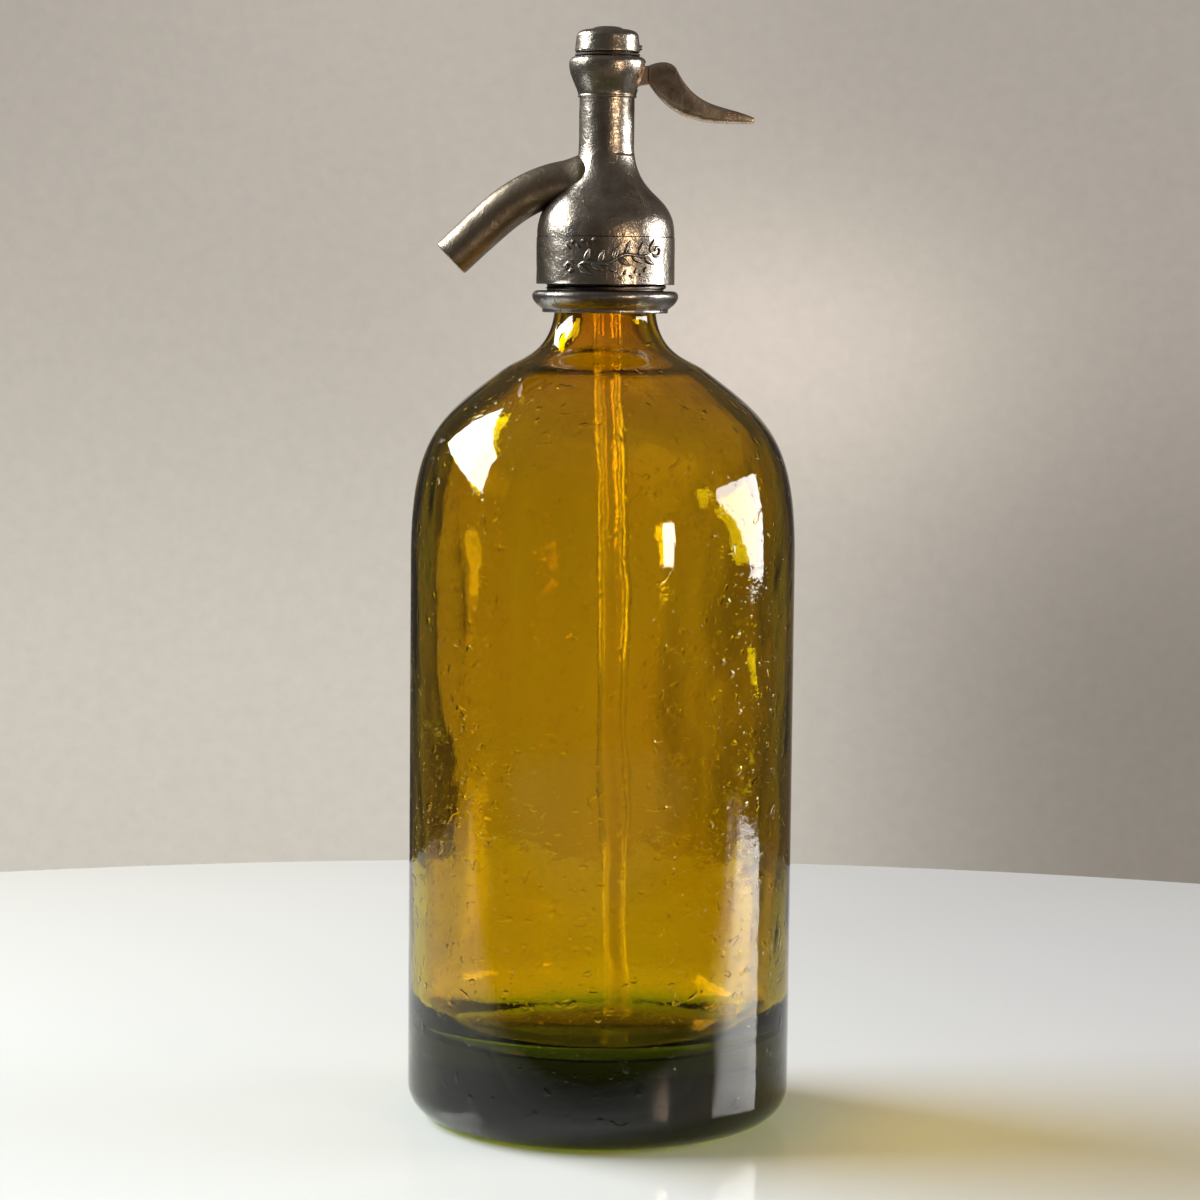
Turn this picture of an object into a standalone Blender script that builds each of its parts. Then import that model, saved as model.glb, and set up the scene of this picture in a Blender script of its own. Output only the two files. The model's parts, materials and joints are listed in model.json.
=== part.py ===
"""A glass soda siphon with a cast pewter head, built as the separate pieces it comes apart into.

Metres, +Z up. The bottle stands on the XY plane with its axis on Z. The spout points along -X and
the lever along +X. Pressing the lever's outer end down turns it about the fulcrum pin, and its inner
finger lifts the valve stem off its seat against the spring under the cap.
"""
import math

import bmesh
import bpy

# Fits shared by the whole assembly
CLEARANCE = 0.0003
OVERRUN = 0.002
EDGE_BREAK = 0.0004
WELD = 0.000005

# Bottle: blown glass, thick in the base
BODY_RADIUS = 0.0525
SHOULDER_HEIGHT = 0.1541
SHOULDER_RISE = 0.0515
SHOULDER_END_RADIUS = 0.0270
SHOULDER_SLOPE = math.radians(36.4)
SHOULDER_LOWER_PULL = 0.0332
SHOULDER_UPPER_PULL = 0.0218
NECK_RADIUS = 0.0136
NECK_SWEEP_RISE = 0.0185
NECK_LOWER_PULL = 0.0050
NECK_UPPER_PULL = 0.0147
NECK_LENGTH = 0.0121
LIP_RADIUS = 0.0158
LIP_HEIGHT = 0.0052
LIP_ROUND = 0.0012
GLASS_WALL = 0.0046
FLOOR_HEIGHT = 0.0230
FLOOR_CORNER = 0.0120
HEEL_RADIUS = 0.0090
FOOT_INNER_RADIUS = 0.0310
PUNT_RISE = 0.0020

# Dip tube, and the rubber bush that holds it in the bottle's mouth
TUBE_RADIUS = 0.00425
TUBE_WALL = 0.00125
TUBE_FOOT_GAP = 0.0040
TUBE_TILT = math.radians(1.4)
TUBE_SLACK = 0.0005
TUBE_BEAD_RADIUS = 0.0056
TUBE_BEAD_HEIGHT = 0.0015
BUSH_FLANGE_RADIUS = 0.0120
BUSH_LENGTH = 0.0120
GASKET_THICKNESS = 0.0019
GASKET_RADIUS = 0.0154

# Split collar that grips the bottle under its lip
COLLAR_HEIGHT = 0.0152
COLLAR_SCREW_RADIUS = 0.0165
FLANGE_HEIGHT = 0.0060
FLANGE_RADIUS = 0.0201
FLANGE_BEAD_RADIUS = 0.0014
FLANGE_FOOT_RADIUS = 0.0171
COLLAR_BORE_FLARE = 0.0005
COLLAR_SEAM_ANGLE = math.radians(225.8)

# Head casting, outside
BELL_RADIUS = 0.0188
BELL_TOP_RADIUS = 0.0186
BELL_STRAIGHT_HEIGHT = 0.0129
BELL_SWEEP_RISE = 0.0257
BELL_LOWER_PULL = 0.01345
BELL_UPPER_PULL = 0.0165
COLUMN_RADIUS = 0.00745
COLUMN_LENGTH = 0.0116
CUP_FOOT_RADIUS = 0.00785
CUP_RADIUS = 0.01038
CUP_FLARE_HEIGHT = 0.0084
CUP_HEIGHT = 0.0109
CUP_RIM_RADIUS = 0.0094
SPIGOT_RADIUS = 0.0072
SPIGOT_HEIGHT = 0.0047

# Head casting, inside
BELL_DEPTH = 0.0155
SEAT_BORE_RADIUS = 0.0060
SEAT_BORE_DEPTH = 0.0063
CHAMBER_RADIUS = 0.0046
CHAMBER_HEIGHT = 0.0117
WEB_THICKNESS = 0.0016
PACKING_BORE_RADIUS = 0.0052
PACKING_BORE_DEPTH = 0.0115
SPRING_BORE_RADIUS = 0.0060

# Spout: a bent tube soldered to the head
SPOUT_BORE_RADIUS = 0.0037
SPOUT_RADIUS = 0.0059
SPOUT_TIP_RADIUS = 0.0055
SPOUT_FLARE = 0.0013
SPOUT_FLARE_LENGTH = 0.0045
SPOUT_ROOT_INSET = 0.0040
SPOUT_ROOT_HEIGHT = 0.0276
SPOUT_REACH = 0.0421
SPOUT_TIP_HEIGHT = 0.0065
SPOUT_ROOT_SLOPE = math.radians(-4)
SPOUT_TIP_SLOPE = math.radians(43)
SPOUT_ROOT_PULL = 0.0170
SPOUT_TIP_PULL = 0.0170

# Valve and stem
SEAT_NOZZLE_RADIUS = 0.0029
SEAT_NOZZLE_HEIGHT = 0.0008
SEAT_HOLE_RADIUS = 0.0022
WASHER_RADIUS = 0.0033
WASHER_THICKNESS = 0.0020
HOLDER_RADIUS = 0.0042
HOLDER_SKIRT_DEPTH = 0.0014
HOLDER_WEB_HEIGHT = 0.0030
HOLDER_SOCKET_DEPTH = 0.0016
SCREW_RADIUS = 0.0008
SCREW_HEAD_RADIUS = 0.0016
SCREW_HEAD_HEIGHT = 0.0010
STEM_RADIUS = 0.0015
PACKING_RING_THICKNESS = 0.0012
PACKING_THICKNESS = 0.0035
GLAND_HEIGHT = 0.0030
GLAND_SLOT_WIDTH = 0.0014
GLAND_SLOT_DEPTH = 0.0008

# Lever, in the plane of the spout; its places are counted from the fulcrum pin
PIVOT_REACH = 0.0060
PIVOT_RISE = 0.0049
PIN_RADIUS = 0.0009
PIN_LENGTH = 0.0140
BOSS_RADIUS = 0.0022
SHANK_WIDTH = 0.0048
SHANK_TOP = 0.0039
SHANK_SHOULDER = 0.0022
FINGER_TIP_RADIUS = 0.0015
FINGER_HALF_HEIGHT = 0.0006
FINGER_WIDTH = 0.0024
SLOT_DROP = 0.0026
SLOT_HEADROOM = 0.0046
HORN_ROOT_REACH = 0.0053
HORN_ROOT_DROP = 0.0012
HORN_CREST_REACH = 0.0127
HORN_CREST_RISE = 0.00285
HORN_CREST_SLOPE = math.radians(63.4)
HORN_ROOT_RISE_ANGLE = math.radians(22.8)
HORN_CREST_PULLS = (0.00464, 0.00177, 0.0122, 0.0091)
HORN_BELLY_SLOPE = math.radians(56.3)
HORN_BELLY_PULLS = (0.01325, 0.0127)
HORN_TIP_REACH = 0.0337
HORN_TIP_DROP = 0.0099
HORN_TIP_THICKNESS = 0.0016
HORN_TIP_SLOPE = math.radians(23.7)
HORN_HALF_WIDTHS = (0.0030, 0.0038, 0.0052, 0.0034)
SECTION_POWER_SHARE = 0.7

# Lifter on the stem, spring and cap
LIFTER_RADIUS = 0.0033
LIFTER_RISE = 0.0039
LIFTER_DROP = 0.0053
LIFTER_SOCKET_DEPTH = 0.0028
LIFTER_BACK_WALL = 0.0012
SPRING_SEAT_RADIUS = 0.0046
SPRING_SEAT_THICKNESS = 0.0008
SPRING_PILOT_RADIUS = 0.0029
SPRING_PILOT_HEIGHT = 0.0010
SPRING_RADIUS = 0.0039
SPRING_WIRE_RADIUS = 0.0004
SPRING_TURNS = 4
CAP_RADIUS = 0.0088
CAP_SHOULDER_RADIUS = 0.0084
CAP_SHOULDER_HEIGHT = 0.0045
CAP_HEIGHT = 0.0071
CAP_BORE_DEPTH = 0.0045
CAP_BOSS_RADIUS = 0.0038
CAP_BOSS_HEIGHT = 0.0005
CAP_WASHER_THICKNESS = 0.0006
LOCK_SCREW_RADIUS = 0.0007
LOCK_SCREW_RISE = 0.0014
LOCK_SCREW_PROUD = 0.0006

# Facets round a turned piece, and along its curves
BOTTLE_SEGMENTS = 40
HEAD_SEGMENTS = 32
CAP_SEGMENTS = 28
SMALL_SEGMENTS = 16
SHOULDER_STEPS = 9
SWEEP_STEPS = 7
CORNER_STEPS = 4
ROUND_STEPS = 3
SPOUT_STEPS = 14
SPOUT_SIDES = 14
HORN_STEPS = 7
HORN_SECTION_POINTS = 14
SPRING_POINTS_PER_TURN = 9

# Levels worked out from the stack of pieces
SHOULDER_TOP = SHOULDER_HEIGHT + SHOULDER_RISE
NECK_BOTTOM = SHOULDER_TOP + NECK_SWEEP_RISE
LIP_BOTTOM = NECK_BOTTOM + NECK_LENGTH
LIP_TOP = LIP_BOTTOM + LIP_HEIGHT
BORE_RADIUS = NECK_RADIUS - GLASS_WALL
COLLAR_TOP = LIP_BOTTOM - CLEARANCE
COLLAR_BOTTOM = COLLAR_TOP - COLLAR_HEIGHT
GASKET_BOTTOM = LIP_TOP + CLEARANCE
CEILING = GASKET_BOTTOM + GASKET_THICKNESS + CLEARANCE
BELL_MOUTH = CEILING - BELL_DEPTH
BELL_SHOULDER = BELL_MOUTH + BELL_STRAIGHT_HEIGHT
COLUMN_BOTTOM = BELL_SHOULDER + BELL_SWEEP_RISE
CUP_BOTTOM = COLUMN_BOTTOM + COLUMN_LENGTH
CUP_TOP = CUP_BOTTOM + CUP_HEIGHT
SPIGOT_TOP = CUP_TOP + SPIGOT_HEIGHT
SEAT_SHOULDER = CEILING + SEAT_BORE_DEPTH
CHAMBER_TOP = SEAT_SHOULDER + CHAMBER_HEIGHT
WEB_TOP = CHAMBER_TOP + WEB_THICKNESS
PACKING_TOP = WEB_TOP + PACKING_BORE_DEPTH
NOZZLE_TOP = SEAT_SHOULDER - CLEARANCE + SEAT_NOZZLE_HEIGHT
WASHER_BOTTOM = NOZZLE_TOP + CLEARANCE
HOLDER_WEB = WASHER_BOTTOM + WASHER_THICKNESS + CLEARANCE
HOLDER_TOP = HOLDER_WEB + HOLDER_WEB_HEIGHT
HOLDER_SOCKET = HOLDER_TOP - HOLDER_SOCKET_DEPTH
PIVOT_HEIGHT = CUP_BOTTOM + PIVOT_RISE
LIFTER_BOTTOM = PIVOT_HEIGHT - LIFTER_DROP
LIFTER_TOP = PIVOT_HEIGHT + LIFTER_RISE
SPRING_SEAT_BOTTOM = LIFTER_TOP + CLEARANCE
CAP_WASHER_BOTTOM = CUP_TOP + CLEARANCE
CAP_BOTTOM = CAP_WASHER_BOTTOM + CAP_WASHER_THICKNESS + CLEARANCE
CAP_CEILING = CAP_BOTTOM + CAP_BORE_DEPTH

PARTS = "soda_siphon"
CUTTERS = "cutters"


def clear_scene():
    """Removes every object, and makes one collection for the parts and one for the cutters."""
    for old in list(bpy.data.objects):
        bpy.data.objects.remove(old, do_unlink=True)
    for name in (PARTS, CUTTERS):
        bpy.context.scene.collection.children.link(bpy.data.collections.new(name))


def make_material(name, colour, roughness, metallic=0, transmission=0):
    """A Principled material for one kind of stuff."""
    material = bpy.data.materials.new(name)
    material.use_nodes = True
    shader = material.node_tree.nodes["Principled BSDF"]
    shader.inputs["Base Color"].default_value = (*colour, 1)
    shader.inputs["Roughness"].default_value = roughness
    shader.inputs["Metallic"].default_value = metallic
    shader.inputs["Transmission Weight"].default_value = transmission
    return material


def make_materials():
    return {
        "amber_glass": make_material("amber_glass", (0.45, 0.22, 0.01), 0.04, transmission=0.9),
        "tube_glass": make_material("tube_glass", (0.85, 0.86, 0.72), 0.05, transmission=0.9),
        "pewter": make_material("pewter", (0.42, 0.39, 0.35), 0.34, metallic=1),
        "lever_metal": make_material("lever_metal", (0.30, 0.24, 0.18), 0.42, metallic=1),
        "brass": make_material("brass", (0.62, 0.46, 0.20), 0.35, metallic=1),
        "steel": make_material("steel", (0.55, 0.55, 0.56), 0.30, metallic=1),
        "rubber": make_material("rubber", (0.06, 0.05, 0.05), 0.8),
        "leather": make_material("leather", (0.24, 0.13, 0.07), 0.85),
    }


def finish(obj, material):
    obj.data.materials.append(material)
    return obj


def link(obj, collection=PARTS):
    bpy.data.collections[collection].objects.link(obj)
    return obj


def as_cutter(obj):
    """Marks an object as a guide that only cuts others."""
    obj.hide_render = True
    obj.display_type = "WIRE"
    return obj


def boolean(obj, other, operation="DIFFERENCE"):
    modifier = obj.modifiers.new(operation.lower(), "BOOLEAN")
    modifier.operation = operation
    modifier.object = other


def bezier(start, start_pull, end_pull, end, steps):
    """Points along one cubic curve, with both ends."""
    points = []
    for step in range(steps + 1):
        t = step / steps
        weights = ((1 - t) ** 3, 3 * t * (1 - t) ** 2, 3 * t ** 2 * (1 - t), t ** 3)
        corners = (start, start_pull, end_pull, end)
        points.append(tuple(sum(w * c[axis] for w, c in zip(weights, corners)) for axis in (0, 1)))
    return points


def arc(centre, radius, start_angle, end_angle, steps):
    """Points along an arc in degrees, with both ends."""
    points = []
    for step in range(steps + 1):
        angle = math.radians(start_angle + (end_angle - start_angle) * step / steps)
        points.append((centre[0] + radius * math.cos(angle), centre[1] + radius * math.sin(angle)))
    return points


def offset(points, distance):
    """The points moved to the right of the way they run; both ends keep their end's direction."""
    moved = []
    last = len(points) - 1
    for index, (r, z) in enumerate(points):
        before = points[max(index - 1, 0)]
        after = points[min(index + 1, last)]
        run, rise = after[0] - before[0], after[1] - before[1]
        length = math.hypot(run, rise)
        moved.append((r + distance * rise / length, z - distance * run / length))
    return moved


def turned(name, outline, segments=SMALL_SEGMENTS, level=0, collection=PARTS):
    """A solid of revolution about Z, from (radius, height) points that run down its outer side.

    An outline with both ends on the axis stays open there; any other one is closed to a ring.
    """
    mesh = bpy.data.meshes.new(name)
    count = len(outline)
    edges = [(index, index + 1) for index in range(count - 1)]
    if outline[0][0] > 0:
        edges.append((count - 1, 0))
    mesh.from_pydata([(r, 0, z) for r, z in outline], edges, [])
    obj = link(bpy.data.objects.new(name, mesh), collection)
    obj.location.z = level
    screw = obj.modifiers.new("turn", "SCREW")
    screw.steps = segments
    screw.render_steps = segments
    screw.use_merge_vertices = True
    screw.merge_threshold = WELD
    screw.use_smooth_shade = True
    return obj


def ring(inner, outer, height, edge=0):
    """The outline of a plain ring or bush, its lower face at height 0."""
    return [
        (inner, height), (outer - edge, height), (outer, height - edge), (outer, edge),
        (outer - edge, 0), (inner, 0),
    ] if edge else [(inner, height), (outer, height), (outer, 0), (inner, 0)]


def box(name, low, high, collection=CUTTERS):
    """A box between two corners."""
    mesh = bpy.data.meshes.new(name)
    shape = bmesh.new()
    bmesh.ops.create_cube(shape, size=1)
    for vertex in shape.verts:
        vertex.co = [(a + b) / 2 + (b - a) * c for a, b, c in zip(low, high, vertex.co)]
    shape.to_mesh(mesh)
    shape.free()
    return link(bpy.data.objects.new(name, mesh), collection)


def cross_bar(name, radius, length, centre, collection=CUTTERS):
    """A round bar along Y with its middle at the centre."""
    mesh = bpy.data.meshes.new(name)
    shape = bmesh.new()
    bmesh.ops.create_cone(
        shape, cap_ends=True, segments=SMALL_SEGMENTS, radius1=radius, radius2=radius, depth=length)
    shape.to_mesh(mesh)
    shape.free()
    obj = link(bpy.data.objects.new(name, mesh), collection)
    obj.rotation_euler.x = math.radians(90)
    obj.location = centre
    return obj


def swept(name, points, radii, sides, collection=PARTS):
    """A capped round tube along points in space, as a mesh, with a radius at each point."""
    curve = bpy.data.curves.new(name + "_line", "CURVE")
    curve.dimensions = "3D"
    curve.bevel_depth = 1
    curve.bevel_resolution = (sides - 4) // 2
    curve.use_fill_caps = True
    spline = curve.splines.new("POLY")
    spline.points.add(len(points) - 1)
    for point, place, radius in zip(spline.points, points, radii):
        point.co = (*place, 1)
        point.radius = radius
    line = link(bpy.data.objects.new(name + "_line", curve), collection)
    bpy.context.view_layer.update()
    mesh = bpy.data.meshes.new_from_object(line.evaluated_get(bpy.context.evaluated_depsgraph_get()))
    shape = bmesh.new()
    shape.from_mesh(mesh)
    bmesh.ops.remove_doubles(shape, verts=shape.verts, dist=WELD)
    bmesh.ops.recalc_face_normals(shape, faces=shape.faces)
    shape.to_mesh(mesh)
    shape.free()
    mesh.shade_smooth()
    obj = link(bpy.data.objects.new(name, mesh), collection)
    obj.matrix_world = line.matrix_world
    bpy.data.objects.remove(line, do_unlink=True)
    return obj


def flat_plate(name, outline, width, collection=CUTTERS):
    """An outline in the XZ plane, with its thickness along Y and its middle at y 0."""
    curve = bpy.data.curves.new(name + "_outline", "CURVE")
    curve.dimensions = "2D"
    curve.fill_mode = "BOTH"
    curve.extrude = width / 2
    spline = curve.splines.new("POLY")
    spline.points.add(len(outline) - 1)
    spline.use_cyclic_u = True
    for point, (x, z) in zip(spline.points, outline):
        point.co = (x, z, 0, 1)
    flat = link(bpy.data.objects.new(name + "_outline", curve), collection)
    flat.rotation_euler.x = math.radians(90)
    bpy.context.view_layer.update()
    mesh = bpy.data.meshes.new_from_object(flat.evaluated_get(bpy.context.evaluated_depsgraph_get()))
    shape = bmesh.new()
    shape.from_mesh(mesh)
    bmesh.ops.remove_doubles(shape, verts=shape.verts, dist=WELD)
    bmesh.ops.recalc_face_normals(shape, faces=shape.faces)
    shape.to_mesh(mesh)
    shape.free()
    obj = link(bpy.data.objects.new(name, mesh), collection)
    obj.matrix_world = flat.matrix_world
    bpy.data.objects.remove(flat, do_unlink=True)
    return obj


def empty(name, place):
    """A parent for the pieces that move together, on their joint's axis."""
    obj = link(bpy.data.objects.new(name, None))
    obj.location = place
    return obj


def carry(parent, *pieces):
    """Parents pieces that were placed in the world to an empty, without moving them."""
    for piece in pieces:
        piece.parent = parent
        piece.location = piece.location - parent.location


def shoulder_outline():
    """The bottle's outside from the neck's foot down to the straight body."""
    slope_run, slope_rise = math.cos(SHOULDER_SLOPE), math.sin(SHOULDER_SLOPE)
    joint = (SHOULDER_END_RADIUS, SHOULDER_TOP)
    sweep = bezier(
        (NECK_RADIUS, NECK_BOTTOM), (NECK_RADIUS, NECK_BOTTOM - NECK_UPPER_PULL),
        (joint[0] - NECK_LOWER_PULL * slope_run, joint[1] + NECK_LOWER_PULL * slope_rise),
        joint, SWEEP_STEPS)
    shoulder = bezier(
        joint,
        (joint[0] + SHOULDER_UPPER_PULL * slope_run, joint[1] - SHOULDER_UPPER_PULL * slope_rise),
        (BODY_RADIUS, SHOULDER_HEIGHT + SHOULDER_LOWER_PULL),
        (BODY_RADIUS, SHOULDER_HEIGHT), SHOULDER_STEPS)
    return sweep + shoulder[1:]


def build_bottle(materials):
    """Thick-walled bottle with a rolled lip, a heavy base and a shallow punt under it."""
    outer = shoulder_outline()
    inner_radius = BODY_RADIUS - GLASS_WALL
    inner = list(reversed(offset(outer, GLASS_WALL)))
    inner[0] = (inner_radius, SHOULDER_HEIGHT)
    inner[-1] = (BORE_RADIUS, NECK_BOTTOM)
    floor = arc((inner_radius - FLOOR_CORNER, FLOOR_HEIGHT + FLOOR_CORNER), FLOOR_CORNER, -90, 0, CORNER_STEPS)
    lip_centre = LIP_RADIUS - LIP_ROUND
    lip = arc((lip_centre, LIP_TOP - LIP_ROUND), LIP_ROUND, 90, 0, ROUND_STEPS)
    lip += arc((lip_centre, LIP_BOTTOM + LIP_ROUND), LIP_ROUND, 0, -90, ROUND_STEPS)
    heel = arc((BODY_RADIUS - HEEL_RADIUS, HEEL_RADIUS), HEEL_RADIUS, 0, -90, CORNER_STEPS)
    outline = [(0, FLOOR_HEIGHT)] + floor + inner
    outline += [(BORE_RADIUS, LIP_TOP - EDGE_BREAK), (BORE_RADIUS + EDGE_BREAK, LIP_TOP)]
    outline += lip + [(NECK_RADIUS, LIP_BOTTOM)] + outer + heel
    outline += [(FOOT_INNER_RADIUS, 0), (FOOT_INNER_RADIUS / 2, PUNT_RISE), (0, PUNT_RISE)]
    return finish(turned("bottle", outline, BOTTLE_SEGMENTS), materials["amber_glass"])


def build_dip_tube(materials):
    """Glass tube that hangs by its bead in the bush, and leans a little to the lever's side."""
    top = GASKET_BOTTOM + CLEARANCE + TUBE_BEAD_HEIGHT
    length = top - FLOOR_HEIGHT - TUBE_FOOT_GAP
    bore = TUBE_RADIUS - TUBE_WALL
    outline = [
        (bore, 0), (TUBE_BEAD_RADIUS - EDGE_BREAK, 0), (TUBE_BEAD_RADIUS, -EDGE_BREAK),
        (TUBE_BEAD_RADIUS, -TUBE_BEAD_HEIGHT), (TUBE_RADIUS, -TUBE_BEAD_HEIGHT),
        (TUBE_RADIUS, -length), (bore, -length),
    ]
    tube = turned("dip_tube", outline, level=top)
    tube.rotation_euler.y = -TUBE_TILT
    return finish(tube, materials["tube_glass"])


def build_tube_bush(materials):
    """Rubber bush: its flange lies on the lip, and its pocket holds the tube's bead."""
    bore = TUBE_RADIUS + TUBE_SLACK
    pocket = TUBE_BEAD_RADIUS + TUBE_SLACK
    plug = BORE_RADIUS - CLEARANCE
    outline = [
        (pocket, GASKET_THICKNESS), (BUSH_FLANGE_RADIUS, GASKET_THICKNESS), (BUSH_FLANGE_RADIUS, 0),
        (plug, 0), (plug, -BUSH_LENGTH), (bore, -BUSH_LENGTH), (bore, 0), (pocket, 0),
    ]
    return finish(turned("tube_bush", outline, level=GASKET_BOTTOM), materials["rubber"])


def build_neck_gasket(materials):
    """Rubber ring squeezed between the glass lip and the bell's ceiling."""
    outline = ring(BUSH_FLANGE_RADIUS + CLEARANCE, GASKET_RADIUS, GASKET_THICKNESS)
    gasket = turned("neck_gasket", outline, HEAD_SEGMENTS, GASKET_BOTTOM)
    return finish(gasket, materials["rubber"])


def collar_outline():
    """The whole collar before it is split: a screwed sleeve with a beaded flange below."""
    bore = NECK_RADIUS + CLEARANCE
    flange_top = COLLAR_BOTTOM + FLANGE_HEIGHT
    bead_height = flange_top - FLANGE_BEAD_RADIUS
    bead = arc((FLANGE_RADIUS - FLANGE_BEAD_RADIUS, bead_height), FLANGE_BEAD_RADIUS, 90, -60, CORNER_STEPS)
    return [
        (bore, COLLAR_TOP), (COLLAR_SCREW_RADIUS - EDGE_BREAK, COLLAR_TOP),
        (COLLAR_SCREW_RADIUS, COLLAR_TOP - EDGE_BREAK), (COLLAR_SCREW_RADIUS, flange_top),
    ] + bead + [
        (FLANGE_FOOT_RADIUS, COLLAR_BOTTOM + EDGE_BREAK), (FLANGE_FOOT_RADIUS - EDGE_BREAK, COLLAR_BOTTOM),
        (bore + COLLAR_BORE_FLARE, COLLAR_BOTTOM), (bore, COLLAR_BOTTOM + FLANGE_HEIGHT),
    ]


def build_collar(materials):
    """The two halves of the split collar, parted along a seam plane through the axis."""
    reach = FLANGE_RADIUS + OVERRUN
    low = COLLAR_BOTTOM - OVERRUN
    high = COLLAR_TOP + OVERRUN
    halves = []
    for name, turn in (("collar_half_left", 0), ("collar_half_right", math.pi)):
        half = turned(name, collar_outline(), HEAD_SEGMENTS)
        cutter = as_cutter(box(name + "_cutter", (-reach, -CLEARANCE / 2, low), (reach, reach, high)))
        cutter.rotation_euler.z = COLLAR_SEAM_ANGLE + turn
        boolean(half, cutter)
        halves.append(finish(half, materials["pewter"]))
    return halves


def head_outside(grow=0):
    """The head's outside, from the cup's rim down to the bell's mouth, grown by a margin."""
    flare = CUP_BOTTOM + CUP_FLARE_HEIGHT
    cup = [(CUP_RIM_RADIUS, CUP_TOP), (CUP_RADIUS - EDGE_BREAK / 2, CUP_TOP - 2 * EDGE_BREAK)]
    cup += bezier(
        (CUP_RADIUS, flare), (CUP_RADIUS - EDGE_BREAK / 2, flare - CUP_FLARE_HEIGHT / 3),
        (CUP_FOOT_RADIUS + EDGE_BREAK, CUP_BOTTOM + CUP_FLARE_HEIGHT / 3),
        (CUP_FOOT_RADIUS, CUP_BOTTOM + EDGE_BREAK), CORNER_STEPS)
    sweep = bezier(
        (COLUMN_RADIUS, COLUMN_BOTTOM), (COLUMN_RADIUS, COLUMN_BOTTOM - BELL_UPPER_PULL),
        (BELL_TOP_RADIUS, BELL_SHOULDER + BELL_LOWER_PULL), (BELL_TOP_RADIUS, BELL_SHOULDER),
        SHOULDER_STEPS)
    bell = [(BELL_RADIUS, BELL_MOUTH + EDGE_BREAK), (BELL_RADIUS - EDGE_BREAK, BELL_MOUTH)]
    outside = cup + [(COLUMN_RADIUS, CUP_BOTTOM)] + sweep + bell
    return [(r + grow, z) for r, z in outside]


def spout_line():
    """The spout's centre line in the XZ plane, from inside the head out to its mouth."""
    root = (-SPOUT_ROOT_INSET, BELL_MOUTH + SPOUT_ROOT_HEIGHT)
    tip = (-SPOUT_REACH, BELL_MOUTH + SPOUT_TIP_HEIGHT)
    root_pull = (
        root[0] - SPOUT_ROOT_PULL * math.cos(SPOUT_ROOT_SLOPE),
        root[1] - SPOUT_ROOT_PULL * math.sin(SPOUT_ROOT_SLOPE))
    tip_pull = (
        tip[0] + SPOUT_TIP_PULL * math.cos(SPOUT_TIP_SLOPE),
        tip[1] + SPOUT_TIP_PULL * math.sin(SPOUT_TIP_SLOPE))
    return bezier(root, root_pull, tip_pull, tip, SPOUT_STEPS)


def spout_radius(x):
    """Flared where the spout meets the column, then tapering to the mouth."""
    column = COLUMN_RADIUS + CLEARANCE
    share = (-x - column) / (SPOUT_REACH - column)
    flare = 1 - (-x - column) / SPOUT_FLARE_LENGTH
    taper = SPOUT_RADIUS + (SPOUT_TIP_RADIUS - SPOUT_RADIUS) * max(share, 0)
    return taper + SPOUT_FLARE * min(max(flare, 0), 1) ** 2


def build_spout_bore():
    """The water way: from the valve chamber through the column and out past the mouth."""
    line = spout_line()
    step = (-OVERRUN * math.cos(SPOUT_TIP_SLOPE), -OVERRUN * math.sin(SPOUT_TIP_SLOPE))
    line = line + [(line[-1][0] + step[0], line[-1][1] + step[1])]
    points = [(x, 0, z) for x, z in line]
    radii = [SPOUT_BORE_RADIUS] * len(points)
    return as_cutter(swept("spout_bore_cutter", points, radii, SPOUT_SIDES, CUTTERS))


def build_spout(materials, bore):
    """Bent tube whose root is shaped to the column and the bell's shoulder."""
    line = spout_line()
    points = [(x, 0, z) for x, z in line]
    spout = swept("spout", points, [spout_radius(x) for x, z in line], SPOUT_SIDES)
    top = SPIGOT_TOP + OVERRUN
    outline = [(0, top), (SPIGOT_RADIUS, top)] + head_outside(CLEARANCE) + [(0, BELL_MOUTH)]
    saddle = as_cutter(turned("spout_saddle_cutter", outline, HEAD_SEGMENTS, collection=CUTTERS))
    boolean(spout, saddle)
    boolean(spout, bore)
    return finish(spout, materials["pewter"])


def build_head(materials, bore):
    """One casting: screwed bell, column with the valve chamber, and the cup that takes the lever."""
    bell_bore = COLLAR_SCREW_RADIUS + CLEARANCE
    stem_hole = STEM_RADIUS + CLEARANCE
    inside = [
        (bell_bore, BELL_MOUTH), (bell_bore, CEILING), (SEAT_BORE_RADIUS, CEILING),
        (SEAT_BORE_RADIUS, SEAT_SHOULDER), (CHAMBER_RADIUS, SEAT_SHOULDER), (CHAMBER_RADIUS, CHAMBER_TOP),
        (stem_hole, CHAMBER_TOP), (stem_hole, WEB_TOP), (PACKING_BORE_RADIUS, WEB_TOP),
        (PACKING_BORE_RADIUS, PACKING_TOP), (SPRING_BORE_RADIUS, PACKING_TOP),
        (SPRING_BORE_RADIUS, SPIGOT_TOP),
    ]
    outside = [(SPIGOT_RADIUS, SPIGOT_TOP), (SPIGOT_RADIUS, CUP_TOP)] + head_outside()
    head = turned("head_body", outside + inside, HEAD_SEGMENTS)
    half_slot = SHANK_WIDTH / 2 + CLEARANCE
    slot = box(
        "lever_slot_cutter", (PIVOT_REACH / 2, -half_slot, PIVOT_HEIGHT - SLOT_DROP),
        (CUP_RADIUS + OVERRUN, half_slot, PIVOT_HEIGHT + SLOT_HEADROOM))
    pin_hole = cross_bar(
        "pin_hole_cutter", PIN_RADIUS + CLEARANCE, 2 * (CUP_RADIUS + OVERRUN),
        (PIVOT_REACH, 0, PIVOT_HEIGHT))
    for cutter in (bore, as_cutter(slot), as_cutter(pin_hole)):
        boolean(head, cutter)
    return finish(head, materials["pewter"])


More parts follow.
